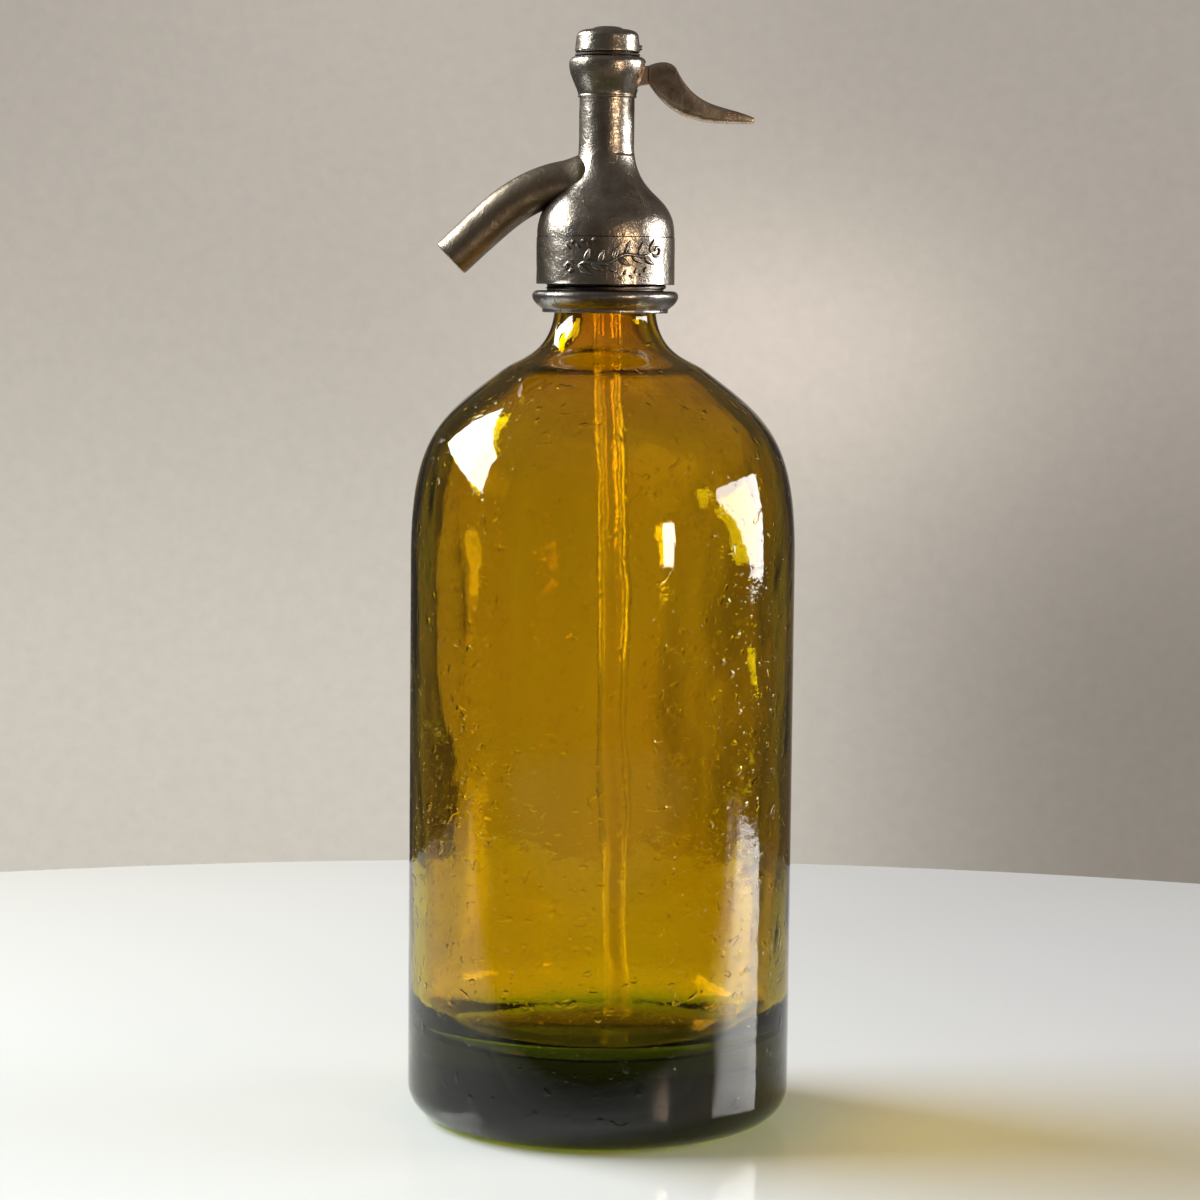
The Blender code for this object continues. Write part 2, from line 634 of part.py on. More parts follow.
def build_valve_seat(materials):
    """Brass seat screwed up into the head, with a raised nozzle that the valve closes on."""
    body = SEAT_BORE_RADIUS - CLEARANCE
    height = SEAT_BORE_DEPTH - 2 * CLEARANCE
    top = height + SEAT_NOZZLE_HEIGHT
    outline = [
        (SEAT_HOLE_RADIUS, top), (SEAT_NOZZLE_RADIUS, top), (SEAT_NOZZLE_RADIUS + EDGE_BREAK, height),
        (body, height), (body, 0), (SEAT_HOLE_RADIUS, 0),
    ]
    seat = turned("valve_seat", outline, level=CEILING + CLEARANCE)
    return finish(seat, materials["brass"])


def build_valve(materials):
    """Rubber washer in its brass holder, held by a screw from below."""
    screw_hole = SCREW_RADIUS + CLEARANCE
    washer = turned("valve_washer", ring(screw_hole, WASHER_RADIUS, WASHER_THICKNESS), level=WASHER_BOTTOM)
    pocket = WASHER_RADIUS + CLEARANCE
    socket = STEM_RADIUS + CLEARANCE
    socket_floor = HOLDER_SOCKET - HOLDER_WEB
    holder_outline = [
        (socket, HOLDER_WEB_HEIGHT), (HOLDER_RADIUS - EDGE_BREAK, HOLDER_WEB_HEIGHT),
        (HOLDER_RADIUS, HOLDER_WEB_HEIGHT - EDGE_BREAK), (HOLDER_RADIUS, -HOLDER_SKIRT_DEPTH),
        (pocket, -HOLDER_SKIRT_DEPTH), (pocket, 0), (screw_hole, 0), (screw_hole, socket_floor),
        (socket, socket_floor),
    ]
    holder = turned("valve_holder", holder_outline, level=HOLDER_WEB)
    head_top = WASHER_BOTTOM - CLEARANCE
    shank = HOLDER_SOCKET - CLEARANCE - head_top
    screw_outline = [
        (0, shank), (SCREW_RADIUS, shank), (SCREW_RADIUS, 0), (SCREW_HEAD_RADIUS, 0),
        (SCREW_HEAD_RADIUS, -SCREW_HEAD_HEIGHT), (0, -SCREW_HEAD_HEIGHT),
    ]
    screw = turned("valve_screw", screw_outline, level=head_top)
    finish(washer, materials["rubber"])
    finish(holder, materials["brass"])
    finish(screw, materials["brass"])
    return washer, holder, screw


def build_stem(materials):
    """Rod from the valve holder up through the packing into the lifter."""
    bottom = HOLDER_SOCKET + CLEARANCE
    length = LIFTER_BOTTOM + LIFTER_SOCKET_DEPTH - CLEARANCE - bottom
    outline = [
        (0, length), (STEM_RADIUS - EDGE_BREAK, length), (STEM_RADIUS, length - EDGE_BREAK),
        (STEM_RADIUS, 0), (0, 0),
    ]
    return finish(turned("valve_stem", outline, level=bottom), materials["brass"])


def build_packing(materials):
    """Ring, leather packing and slotted gland nut that seal the stem in the column."""
    inner = STEM_RADIUS + CLEARANCE
    outer = PACKING_BORE_RADIUS - CLEARANCE
    level = WEB_TOP + CLEARANCE
    pieces = []
    for name, height, stuff in (
            ("packing_ring", PACKING_RING_THICKNESS, "brass"),
            ("stem_packing", PACKING_THICKNESS, "leather"),
            ("gland_nut", GLAND_HEIGHT, "brass")):
        piece = turned(name, ring(inner, outer, height), level=level)
        pieces.append(finish(piece, materials[stuff]))
        level += height + CLEARANCE
    nut_top = level - CLEARANCE
    half_slot = GLAND_SLOT_WIDTH / 2
    reach = PACKING_BORE_RADIUS + OVERRUN
    slot = box(
        "gland_slot_cutter", (-half_slot, -reach, nut_top - GLAND_SLOT_DEPTH),
        (half_slot, reach, nut_top + OVERRUN))
    boolean(pieces[-1], as_cutter(slot))
    return pieces


def build_lifter(materials):
    """Collar on top of the stem, with a slot from the lever's side for the finger."""
    socket = STEM_RADIUS + CLEARANCE
    height = LIFTER_TOP - LIFTER_BOTTOM
    outline = [
        (0, height), (LIFTER_RADIUS - EDGE_BREAK, height), (LIFTER_RADIUS, height - EDGE_BREAK),
        (LIFTER_RADIUS, EDGE_BREAK), (LIFTER_RADIUS - EDGE_BREAK, 0), (socket, 0),
        (socket, LIFTER_SOCKET_DEPTH), (0, LIFTER_SOCKET_DEPTH),
    ]
    lifter = turned("stem_lifter", outline, level=LIFTER_BOTTOM)
    half_width = FINGER_WIDTH / 2 + CLEARANCE
    half_height = FINGER_TIP_RADIUS + CLEARANCE
    slot = box(
        "lifter_slot_cutter", (LIFTER_BACK_WALL - LIFTER_RADIUS, -half_width, PIVOT_HEIGHT - half_height),
        (LIFTER_RADIUS + OVERRUN, half_width, PIVOT_HEIGHT + half_height))
    boolean(lifter, as_cutter(slot))
    return finish(lifter, materials["brass"])


def build_spring_seat(materials):
    """Disc on top of the lifter, with a pilot that centres the spring."""
    top = SPRING_SEAT_THICKNESS + SPRING_PILOT_HEIGHT
    outline = [
        (0, top), (SPRING_PILOT_RADIUS - EDGE_BREAK, top), (SPRING_PILOT_RADIUS, top - EDGE_BREAK),
        (SPRING_PILOT_RADIUS, SPRING_SEAT_THICKNESS), (SPRING_SEAT_RADIUS, SPRING_SEAT_THICKNESS),
        (SPRING_SEAT_RADIUS, 0), (0, 0),
    ]
    seat = turned("spring_seat", outline, level=SPRING_SEAT_BOTTOM)
    return finish(seat, materials["brass"])


def build_spring(materials):
    """Coil spring between the spring seat and the cap's ceiling."""
    rest = SPRING_WIRE_RADIUS + CLEARANCE
    bottom = SPRING_SEAT_BOTTOM + SPRING_SEAT_THICKNESS + rest
    rise = CAP_CEILING - rest - bottom
    count = SPRING_TURNS * SPRING_POINTS_PER_TURN
    points = []
    for index in range(count + 1):
        angle = 2 * math.pi * index / SPRING_POINTS_PER_TURN
        points.append((
            SPRING_RADIUS * math.cos(angle), SPRING_RADIUS * math.sin(angle), bottom + rise * index / count))
    spring = swept("valve_spring", points, [SPRING_WIRE_RADIUS] * len(points), 6)
    print("Least gap between the spring's turns:", rise / SPRING_TURNS - 2 * SPRING_WIRE_RADIUS)
    return finish(spring, materials["steel"])


def build_cap(materials):
    """Domed screw cap with a low boss on top, drilled for its lock screw."""
    bore = SPIGOT_RADIUS + CLEARANCE
    dome_foot = (CAP_SHOULDER_RADIUS, CAP_SHOULDER_HEIGHT)
    boss_foot = CAP_HEIGHT - CAP_BOSS_HEIGHT
    dome = bezier(
        (CAP_BOSS_RADIUS + EDGE_BREAK, boss_foot), (CAP_SHOULDER_RADIUS - 2 * EDGE_BREAK, boss_foot),
        (CAP_SHOULDER_RADIUS, CAP_HEIGHT - 3 * CAP_BOSS_HEIGHT), dome_foot, CORNER_STEPS)
    outline = [(0, CAP_HEIGHT), (CAP_BOSS_RADIUS - EDGE_BREAK, CAP_HEIGHT)] + dome + [
        (CAP_RADIUS, EDGE_BREAK), (CAP_RADIUS - EDGE_BREAK, 0), (bore, 0), (bore, CAP_BORE_DEPTH),
        (0, CAP_BORE_DEPTH),
    ]
    cap = turned("top_cap", outline, CAP_SEGMENTS, CAP_BOTTOM)
    screw_tip = bore
    screw_length = CAP_RADIUS + LOCK_SCREW_PROUD - screw_tip
    screw_outline = [
        (0, screw_length), (LOCK_SCREW_RADIUS, screw_length), (LOCK_SCREW_RADIUS, 0), (0, 0),
    ]
    hole_outline = [
        (0, screw_length + OVERRUN), (LOCK_SCREW_RADIUS + CLEARANCE, screw_length + OVERRUN),
        (LOCK_SCREW_RADIUS + CLEARANCE, -CLEARANCE), (0, -CLEARANCE),
    ]
    screw = turned("cap_lock_screw", screw_outline)
    hole = as_cutter(turned("lock_screw_hole_cutter", hole_outline, collection=CUTTERS))
    for piece in (screw, hole):
        piece.rotation_euler.y = math.radians(90)
        piece.location = (screw_tip, 0, CAP_BOTTOM + LOCK_SCREW_RISE)
    boolean(cap, hole)
    washer = turned(
        "cap_washer", ring(bore, CAP_RADIUS, CAP_WASHER_THICKNESS), CAP_SEGMENTS, CAP_WASHER_BOTTOM)
    finish(cap, materials["pewter"])
    finish(screw, materials["steel"])
    finish(washer, materials["leather"])
    return cap, screw, washer


def horn_edges():
    """The lever's upper and lower edges in the XZ plane, as matching points from root to tip."""
    crest = (HORN_CREST_REACH, HORN_CREST_RISE)
    run, fall = math.cos(HORN_CREST_SLOPE), math.sin(HORN_CREST_SLOPE)
    pulls = HORN_CREST_PULLS
    root_pull = (
        HORN_ROOT_REACH + pulls[0] * math.cos(HORN_ROOT_RISE_ANGLE),
        SHANK_TOP + pulls[0] * math.sin(HORN_ROOT_RISE_ANGLE))
    tip = (HORN_TIP_REACH, -HORN_TIP_DROP)
    tip_pull = (
        tip[0] - pulls[3] * math.cos(HORN_TIP_SLOPE), tip[1] + pulls[3] * math.sin(HORN_TIP_SLOPE))
    upper = bezier(
        (HORN_ROOT_REACH, SHANK_TOP), root_pull,
        (crest[0] - pulls[1] * run, crest[1] + pulls[1] * fall), crest, HORN_STEPS)
    upper += bezier(
        crest, (crest[0] + pulls[2] * run, crest[1] - pulls[2] * fall), tip_pull, tip, HORN_STEPS)[1:]
    heel = (HORN_ROOT_REACH, -HORN_ROOT_DROP)
    toe = (tip[0], tip[1] - HORN_TIP_THICKNESS)
    lower = bezier(
        heel,
        (heel[0] + HORN_BELLY_PULLS[0] * math.cos(HORN_BELLY_SLOPE),
         heel[1] - HORN_BELLY_PULLS[0] * math.sin(HORN_BELLY_SLOPE)),
        (toe[0] - HORN_BELLY_PULLS[1], toe[1]), toe, 2 * HORN_STEPS)
    return upper, lower


def horn_half_width(share):
    """Half the lever's width along Y at a share of its length."""
    root, start, end, tip = HORN_HALF_WIDTHS
    widths = bezier((0, root), (0, start), (0, end), (0, tip), 2 * HORN_STEPS)
    return widths[round(share * 2 * HORN_STEPS)][1]


def build_horn():
    """The lever's horn: rounded sections between the two edges, joined to one closed skin."""
    upper, lower = horn_edges()
    shape = bmesh.new()
    rings = []
    for index, (top, bottom) in enumerate(zip(upper, lower)):
        half_width = horn_half_width(index / (len(upper) - 1))
        section = []
        for step in range(HORN_SECTION_POINTS):
            angle = 2 * math.pi * (step + 1 / 2) / HORN_SECTION_POINTS
            across, along = math.cos(angle), math.sin(angle)
            across = math.copysign(abs(across) ** SECTION_POWER_SHARE, across)
            along = math.copysign(abs(along) ** SECTION_POWER_SHARE, along)
            x = (top[0] + bottom[0]) / 2 + (top[0] - bottom[0]) / 2 * along
            z = (top[1] + bottom[1]) / 2 + (top[1] - bottom[1]) / 2 * along
            section.append(shape.verts.new((x, half_width * across, z)))
        rings.append(section)
    for ring_a, ring_b in zip(rings, rings[1:]):
        for step in range(HORN_SECTION_POINTS):
            after = (step + 1) % HORN_SECTION_POINTS
            shape.faces.new((ring_a[step], ring_a[after], ring_b[after], ring_b[step]))
    shape.faces.new(rings[0])
    shape.faces.new(rings[-1])
    bmesh.ops.recalc_face_normals(shape, faces=shape.faces)
    mesh = bpy.data.meshes.new("lever")
    shape.to_mesh(mesh)
    shape.free()
    mesh.shade_smooth()
    return link(bpy.data.objects.new("lever", mesh))


def build_lever(materials):
    """Horn, shank, pivot boss and finger in one piece, with its origin on the fulcrum pin."""
    lever = build_horn()
    boss = arc((0, 0), BOSS_RADIUS, 120, 290, 2 * CORNER_STEPS)
    shank_outline = boss + [
        (HORN_ROOT_REACH, -HORN_ROOT_DROP), (HORN_ROOT_REACH + BOSS_RADIUS, -HORN_ROOT_DROP),
        (HORN_ROOT_REACH + BOSS_RADIUS, SHANK_TOP), (SHANK_SHOULDER, SHANK_TOP - EDGE_BREAK),
    ]
    tip_angle = math.degrees(math.asin(FINGER_HALF_HEIGHT / FINGER_TIP_RADIUS))
    finger_outline = arc((-PIVOT_REACH, 0), FINGER_TIP_RADIUS, tip_angle, 360 - tip_angle, 2 * CORNER_STEPS)
    finger_outline += [(0, -FINGER_HALF_HEIGHT), (0, FINGER_HALF_HEIGHT)]
    shank = as_cutter(flat_plate("lever_shank_form", shank_outline, SHANK_WIDTH))
    finger = as_cutter(flat_plate("lever_finger_form", finger_outline, FINGER_WIDTH))
    hole = as_cutter(cross_bar("lever_hole_cutter", PIN_RADIUS + CLEARANCE, SHANK_WIDTH + OVERRUN, (0, 0, 0)))
    pivot = empty("lever_pivot", (PIVOT_REACH, 0, PIVOT_HEIGHT))
    for piece in (lever, shank, finger, hole):
        piece.parent = pivot
    boolean(lever, shank, "UNION")
    boolean(lever, finger, "UNION")
    boolean(lever, hole)
    return finish(lever, materials["lever_metal"])


def build_fulcrum_pin(materials):
    """Steel pin across the cup, its ends just under the cup's surface."""
    pin = cross_bar("fulcrum_pin", PIN_RADIUS, PIN_LENGTH, (PIVOT_REACH, 0, PIVOT_HEIGHT), PARTS)
    pin.data.shade_smooth()
    return finish(pin, materials["steel"])


def main():
    clear_scene()
    materials = make_materials()
    build_bottle(materials)
    build_dip_tube(materials)
    build_tube_bush(materials)
    build_neck_gasket(materials)
    build_collar(materials)
    bore = build_spout_bore()
    build_head(materials, bore)
    build_spout(materials, bore)
    build_valve_seat(materials)
    valve = build_valve(materials)
    stem = build_stem(materials)
    build_packing(materials)
    lifter = build_lifter(materials)
    spring_seat = build_spring_seat(materials)
    valve_lift = empty("valve_lift", (0, 0, NOZZLE_TOP))
    carry(valve_lift, *valve, stem, lifter, spring_seat)
    build_spring(materials)
    build_cap(materials)
    build_lever(materials)
    build_fulcrum_pin(materials)


main()
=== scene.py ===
"""The looks of a glass soda siphon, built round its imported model.

Metres, +Z up, the spout along -X and the lever along +X, as in the solids. Each shown solid is
replaced by a finer piece of the same size; the hidden ones stay and get their finish here.
"""
import json
import math

import bmesh
import bpy
import numpy as np
from mathutils import Matrix, Vector


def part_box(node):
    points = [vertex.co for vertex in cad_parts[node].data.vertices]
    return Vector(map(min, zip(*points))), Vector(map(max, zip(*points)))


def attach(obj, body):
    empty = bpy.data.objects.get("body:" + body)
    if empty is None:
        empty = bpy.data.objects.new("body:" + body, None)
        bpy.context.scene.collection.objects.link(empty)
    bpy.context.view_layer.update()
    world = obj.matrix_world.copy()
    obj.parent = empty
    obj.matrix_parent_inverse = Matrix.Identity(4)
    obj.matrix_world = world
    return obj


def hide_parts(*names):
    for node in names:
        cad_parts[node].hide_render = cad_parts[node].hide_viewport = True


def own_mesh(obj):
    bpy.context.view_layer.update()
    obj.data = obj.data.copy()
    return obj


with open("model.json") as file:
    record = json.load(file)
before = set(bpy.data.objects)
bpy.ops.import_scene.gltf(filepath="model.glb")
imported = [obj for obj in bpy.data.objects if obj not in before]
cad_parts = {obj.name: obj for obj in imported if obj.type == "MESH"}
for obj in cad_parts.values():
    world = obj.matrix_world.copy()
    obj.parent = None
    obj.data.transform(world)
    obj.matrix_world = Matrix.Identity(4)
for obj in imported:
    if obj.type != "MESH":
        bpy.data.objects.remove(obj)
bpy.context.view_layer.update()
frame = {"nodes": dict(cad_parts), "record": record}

TAU = 2 * math.pi

# Camera, fitted to the photograph
IMAGE_WIDTH = 1200
FOCAL_PIXELS = 3488.2
SENSOR_WIDTH = 36.0
CAMERA_PLACE = (-0.0006, -0.9514, 0.2274)
CAMERA_PITCH = math.radians(5.11)
CAMERA_ROLL = math.radians(0.56)

# Lamps: place, the way they face, size, radiance and colour
LAMPS = {
    "window": ((3.0, 0.10, 0.46), (-1, 0, 0), (2.0, 1.12), 13.5, (1.0, 0.98, 0.95)),
    "key_softbox": ((-1.276, 0.134, 0.90), (0.707, -0.707, 0), (1.45, 0.72), 18.5, (0.985, 1.0, 0.97)),
    "warm_lamp": ((0.677, -0.867, 0.18), (-0.62, 0.79, 0), (0.13, 0.19), 42.0, (1.0, 0.74, 0.50)),
}

# The window's slanted edge, in shares of its size
WINDOW_SLANT = 0.9
WINDOW_EDGE = (0.66, 0.70)

# The wall behind: its warm glow in degrees from the camera's line, and its grain
GLOW_AZIMUTH = 2.6
GLOW_LEVEL = -0.9
GLOW_WIDTH = 3.6
GLOW_HEIGHT = 2.6
WALL_GRAIN = 0.14
WALL_GRAIN_SCALE = 260.0

# Table
TABLE_RADIUS = 0.66
TABLE_THICKNESS = 0.024
TABLE_EDGE = 0.006
TABLE_CENTRE = -0.227
TABLE_TOP = -0.0002

# Cast metals: worn colour, dull colour, colour of dirt and of the painted shade in creases, range of roughness
# and depth of the grain
CAST_METALS = {
    "pewter": ((0.43, 0.405, 0.37), (0.25, 0.21, 0.17), (0.10, 0.072, 0.05), (0.25, 0.42)),
    "collar_pewter": ((0.36, 0.35, 0.34), (0.20, 0.175, 0.15), (0.08, 0.062, 0.05), (0.26, 0.44)),
    "spout_pewter": ((0.40, 0.34, 0.27), (0.24, 0.19, 0.14), (0.10, 0.07, 0.045), (0.30, 0.50)),
    "lever_metal": ((0.78, 0.66, 0.55), (0.32, 0.235, 0.17), (0.15, 0.105, 0.075), (0.30, 0.50), 0.9),
}

# Glass: how thick it colours, and the heights between which its tint changes
GLASS_IOR = 1.5
GLASS_DENSITY = 290.0
NECK_TINT_HEIGHTS = (0.190, 0.215)
DEEP_GLASS_HEIGHTS = (0.025, 0.015)

# Bottle, as in the solid
SHOULDER_HEIGHT = 0.1541
SHOULDER_RISE = 0.0515
SHOULDER_END_RADIUS = 0.0270
SHOULDER_SLOPE = math.radians(36.4)
SHOULDER_LOWER_PULL = 0.0332
SHOULDER_UPPER_PULL = 0.0218
NECK_RADIUS = 0.0136
NECK_SWEEP_RISE = 0.0185
NECK_LOWER_PULL = 0.0050
NECK_UPPER_PULL = 0.0147
LIP_RADIUS = 0.0158
LIP_HEIGHT = 0.0052
LIP_ROUND = 0.0012
GLASS_WALL = 0.0046
FLOOR_HEIGHT = 0.0230
FLOOR_CORNER = 0.0120
HEEL_RADIUS = 0.0090
FOOT_INNER_RADIUS = 0.0310
PUNT_RISE = 0.0020
INNER_WAVE = 0.00034
INNER_STREAK = 0.00010
INNER_DIMPLE = 0.00003

# Dip tube
TUBE_RADIUS = 0.00425
TUBE_WALL = 0.00125
TUBE_TILT = math.radians(1.4)
TUBE_BEAD_RADIUS = 0.0056
TUBE_BEAD_HEIGHT = 0.0015

# Collar
COLLAR_SCREW_RADIUS = 0.0165
THREAD_DEPTH = 0.0007
THREAD_PITCH = 0.0021
FLANGE_HEIGHT = 0.0060
FLANGE_BEAD_RADIUS = 0.0014
FLANGE_FOOT_RADIUS = 0.0171
COLLAR_SEAM_ANGLE = math.radians(225.8)
SEAM_GAP = 0.00012

# Head casting
BELL_RADIUS = 0.0188
BELL_TOP_RADIUS = 0.0186
BELL_STRAIGHT_HEIGHT = 0.0129
BELL_SWEEP_RISE = 0.0257
BELL_LOWER_PULL = 0.01345
BELL_UPPER_PULL = 0.0165
BELL_DEPTH = 0.0155
BELL_BORE_RADIUS = 0.0168
COLUMN_RADIUS = 0.00745
COLUMN_LENGTH = 0.0116
CUP_FOOT_RADIUS = 0.00785
CUP_RADIUS = 0.01038
CUP_FLARE_HEIGHT = 0.0084
CUP_HEIGHT = 0.0109
CUP_RIM_RADIUS = 0.0094
SPIGOT_RADIUS = 0.0072
SPRING_BORE_RADIUS = 0.0060
SPRING_BORE_FLOOR = 0.0192
HEAD_DENT = 0.00007
HEAD_PIT = 0.00003
CREASE = 0.00013
CRACK_RISE = 0.0221
CRACK_DEPTH = 0.00022
CRACK_SPAN = (-75, 5)
CRACK_FADE = 8
PIVOT_RISE = 0.0049
PIVOT_REACH = 0.0060
PIN_RADIUS = 0.0009
SLOT_HALF_WIDTH = 0.0027
SLOT_DROP = 0.0026
SLOT_HEADROOM = 0.0046

# Relief: the vine's ends on the unrolled bell, its swing, waves, leaf, curl and stem, and the sprigs
RELIEF_LIFT = 0.00062
RELIEF_FACING = math.radians(-86)
VINE_ENDS = ((-0.0095, 0.0046), (0.0120, 0.0088))
VINE_FORM = (0.0007, 2, 0.0043, 0.0018, 0.0012)
LEAVES_PER_WAVE = 6
LEAF_SPREAD = 0.9
SPRIGS = ((-0.0125, 0.0104, 0.10), (0.0020, 0.0022, 0.14))
SPRIG_LEAVES = 6
SPRIG_SPACING = 0.0015
SPRIG_LEAF = (0.0018, 0.0010)

# Spout
SPOUT_BORE_RADIUS = 0.0037
SPOUT_RADIUS = 0.0059
SPOUT_TIP_RADIUS = 0.0055
SPOUT_FLARE = 0.0013
SPOUT_FLARE_LENGTH = 0.0045
SPOUT_ROOT_INSET = 0.0040
SPOUT_ROOT_HEIGHT = 0.0276
SPOUT_REACH = 0.0421
SPOUT_TIP_HEIGHT = 0.0065
SPOUT_ROOT_SLOPE = math.radians(-4)
SPOUT_TIP_SLOPE = math.radians(43)
SPOUT_PULL = 0.0170
SPOUT_LIP = 0.0005
SPOUT_DENT = 0.00006
SOLDER_OVERLAP = 0.0002

# Spring
COIL_RADIUS = 0.0039
WIRE_RADIUS = 0.0004
COIL_TURNS = 4

# Cap
CAP_RADIUS = 0.0088
CAP_SHOULDER_RADIUS = 0.0084
CAP_SHOULDER_HEIGHT = 0.0041
CAP_BORE_DEPTH = 0.0045
CAP_BOSS_RADIUS = 0.0043
CAP_BOSS_DROP = 0.0008
CAP_DENT = 0.00010
LOCK_SCREW_RADIUS = 0.0007
LOCK_SCREW_RISE = 0.0014

# Lever, counted from the fulcrum pin
SHANK_WIDTH = 0.0048
SHANK_TOP = 0.0039
BOSS_RADIUS = 0.0022
FINGER_TIP_RADIUS = 0.0015
FINGER_HALF_HEIGHT = 0.0006
FINGER_WIDTH = 0.0024
HORN_ROOT_REACH = 0.0053
HORN_ROOT_DROP = 0.0012
HORN_CREST_REACH = 0.0127
HORN_CREST_RISE = 0.00285
HORN_CREST_SLOPE = math.radians(63.4)
HORN_ROOT_RISE_ANGLE = math.radians(22.8)
HORN_CREST_PULLS = (0.00464, 0.00177, 0.0122, 0.0091)
HORN_BELLY_SLOPE = math.radians(56.3)
HORN_BELLY_PULLS = (0.01325, 0.0127)
HORN_TIP_REACH = 0.0337
HORN_TIP_DROP = 0.0099
HORN_TIP_THICKNESS = 0.0016
HORN_TIP_SLOPE = math.radians(23.7)
HORN_HALF_WIDTHS = (0.0030, 0.0038, 0.0052, 0.0034)
HORN_SQUARENESS = 0.45

# How finely the pieces are cut
BOTTLE_COLUMNS = 320
HEAD_COLUMNS = 192
SMALL_COLUMNS = 64
ROUND_STEPS = 6
EDGE_ROUND = 0.0004
WELD = 0.0000005


def low(node):
    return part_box(node)[0]


def high(node):
    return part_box(node)[1]


# Levels read from the frame
BODY_RADIUS = high("bottle").x
LIP_TOP = high("bottle").z
LIP_BOTTOM = LIP_TOP - LIP_HEIGHT
SHOULDER_TOP = SHOULDER_HEIGHT + SHOULDER_RISE
NECK_BOTTOM = SHOULDER_TOP + NECK_SWEEP_RISE
BORE_RADIUS = NECK_RADIUS - GLASS_WALL
BELL_MOUTH = low("head_body").z
BELL_SHOULDER = BELL_MOUTH + BELL_STRAIGHT_HEIGHT
CEILING = BELL_MOUTH + BELL_DEPTH
COLUMN_BOTTOM = BELL_SHOULDER + BELL_SWEEP_RISE
CUP_BOTTOM = COLUMN_BOTTOM + COLUMN_LENGTH
CUP_TOP = CUP_BOTTOM + CUP_HEIGHT
SPIGOT_TOP = high("head_body").z
PIVOT_HEIGHT = CUP_BOTTOM + PIVOT_RISE
COLLAR_TOP = high("collar_half_left").z
COLLAR_BOTTOM = low("collar_half_left").z
FLANGE_TOP = COLLAR_BOTTOM + FLANGE_HEIGHT
FLANGE_RADIUS = high("collar_half_left").y
CAP_BOTTOM = low("top_cap").z
CAP_TOP = high("top_cap").z


def bezier(start, start_pull, end_pull, end, steps):
    """Points along one cubic curve, with both ends."""
    t = np.linspace(0, 1, steps + 1)[:, None]
    corners = [np.array(corner, float) for corner in (start, start_pull, end_pull, end)]
    weights = ((1 - t) ** 3, 3 * t * (1 - t) ** 2, 3 * t ** 2 * (1 - t), t ** 3)
    return [tuple(point) for point in sum(w * c for w, c in zip(weights, corners))]


def rounded(corners, steps=ROUND_STEPS):
    """An outline whose corners (radius, height, rounding) are replaced by small curves."""
    points = []
    last = len(corners) - 1
    for index, (r, z, round_off) in enumerate(corners):
        here = np.array((r, z))
        if not round_off or index in (0, last):
            points.append((r, z))
            continue
        ends = []
        for other in (corners[index - 1], corners[index + 1]):
            way = np.array(other[:2]) - here
            length = np.linalg.norm(way)
            ends.append(here + way / length * min(round_off, length * 0.48))
        for t in np.linspace(0, 1, steps + 1):
            points.append(tuple((1 - t) ** 2 * ends[0] + 2 * t * (1 - t) * here + t * t * ends[1]))
    return points


def rounded_ring(corners):
    """The same for an outline that closes on itself."""
    return rounded(corners + corners[:2])[1:-1]


def stretched(start, end, steps):
    """Points on a straight run, without its first one."""
    return [tuple(np.array(start) + (np.array(end) - np.array(start)) * s / steps) for s in range(1, steps + 1)]


def ways_along(line):
    """The unit direction of a line at each of its points."""
    way = np.gradient(line, axis=0)
    return way / np.linalg.norm(way, axis=1, keepdims=True)


def offset(points, distance):
    """The points moved to the right of the way they run."""
    line = np.array(points)
    way = ways_along(line)
    return [tuple(point) for point in line + distance * np.stack((way[:, 1], -way[:, 0]), 1)]


def ripples(points, size, seed, waves=16):
    """A smooth random height at each point, mostly between -1 and 1, with bumps about size across."""
    random = np.random.default_rng(seed)
    ways = random.normal(size=(waves, 3))
    ways *= TAU / size * random.uniform(0.5, 1.3, (waves, 1)) / np.linalg.norm(ways, axis=1, keepdims=True)
    phases = random.uniform(0, TAU, waves)
    return np.sin(points @ ways.T + phases).sum(-1) / math.sqrt(2 * waves)


def turn(outline, columns, start=0.0, sweep=TAU):
    """The grid of points that an outline makes when it turns about Z, one row for each of its points."""
    whole = sweep > TAU - WELD
    angle = start + sweep * np.arange(columns if whole else columns + 1) / columns
    radius, height = np.array(outline).T
    return np.stack((
        radius[:, None] * np.cos(angle), radius[:, None] * np.sin(angle),
        np.repeat(height[:, None], len(angle), 1)), -1)


def push_out(grid, distance):
    """Moves a turned grid's points away from the axis."""
    radius = np.linalg.norm(grid[..., :2], axis=-1)
    share = np.where(radius > WELD, distance / np.maximum(radius, WELD), 0)
    grid[..., :2] *= 1 + share[..., None]
    return grid


def cells(index):
    """The quads between neighbours in a grid of point numbers."""
    quads = np.stack((index[:-1, :-1], index[:-1, 1:], index[1:, 1:], index[1:, :-1]), -1)
    return quads.reshape(-1, 4).tolist()


def skin(name, grid, ring_rows=False, ring_columns=True, caps=None, sharp=35):
    """A closed smooth mesh over a grid of points; caps close its first and last rows or columns."""
    rows, columns = grid.shape[:2]
    index = np.arange(rows * columns).reshape(rows, columns)
    wrapped = np.vstack((index, index[:1])) if ring_rows else index
    wrapped = np.hstack((wrapped, wrapped[:, :1])) if ring_columns else wrapped
    faces = cells(wrapped)
    if caps == "rows":
        faces += [index[0].tolist(), index[-1].tolist()]
    if caps == "columns":
        faces += [index[:, 0].tolist(), index[:, -1].tolist()]
    mesh = bpy.data.meshes.new(name)
    mesh.from_pydata(grid.reshape(-1, 3).tolist(), [], faces)
    return tidy(link(bpy.data.objects.new(name, mesh)), sharp)


def link(obj):
    bpy.context.scene.collection.objects.link(obj)
    return obj


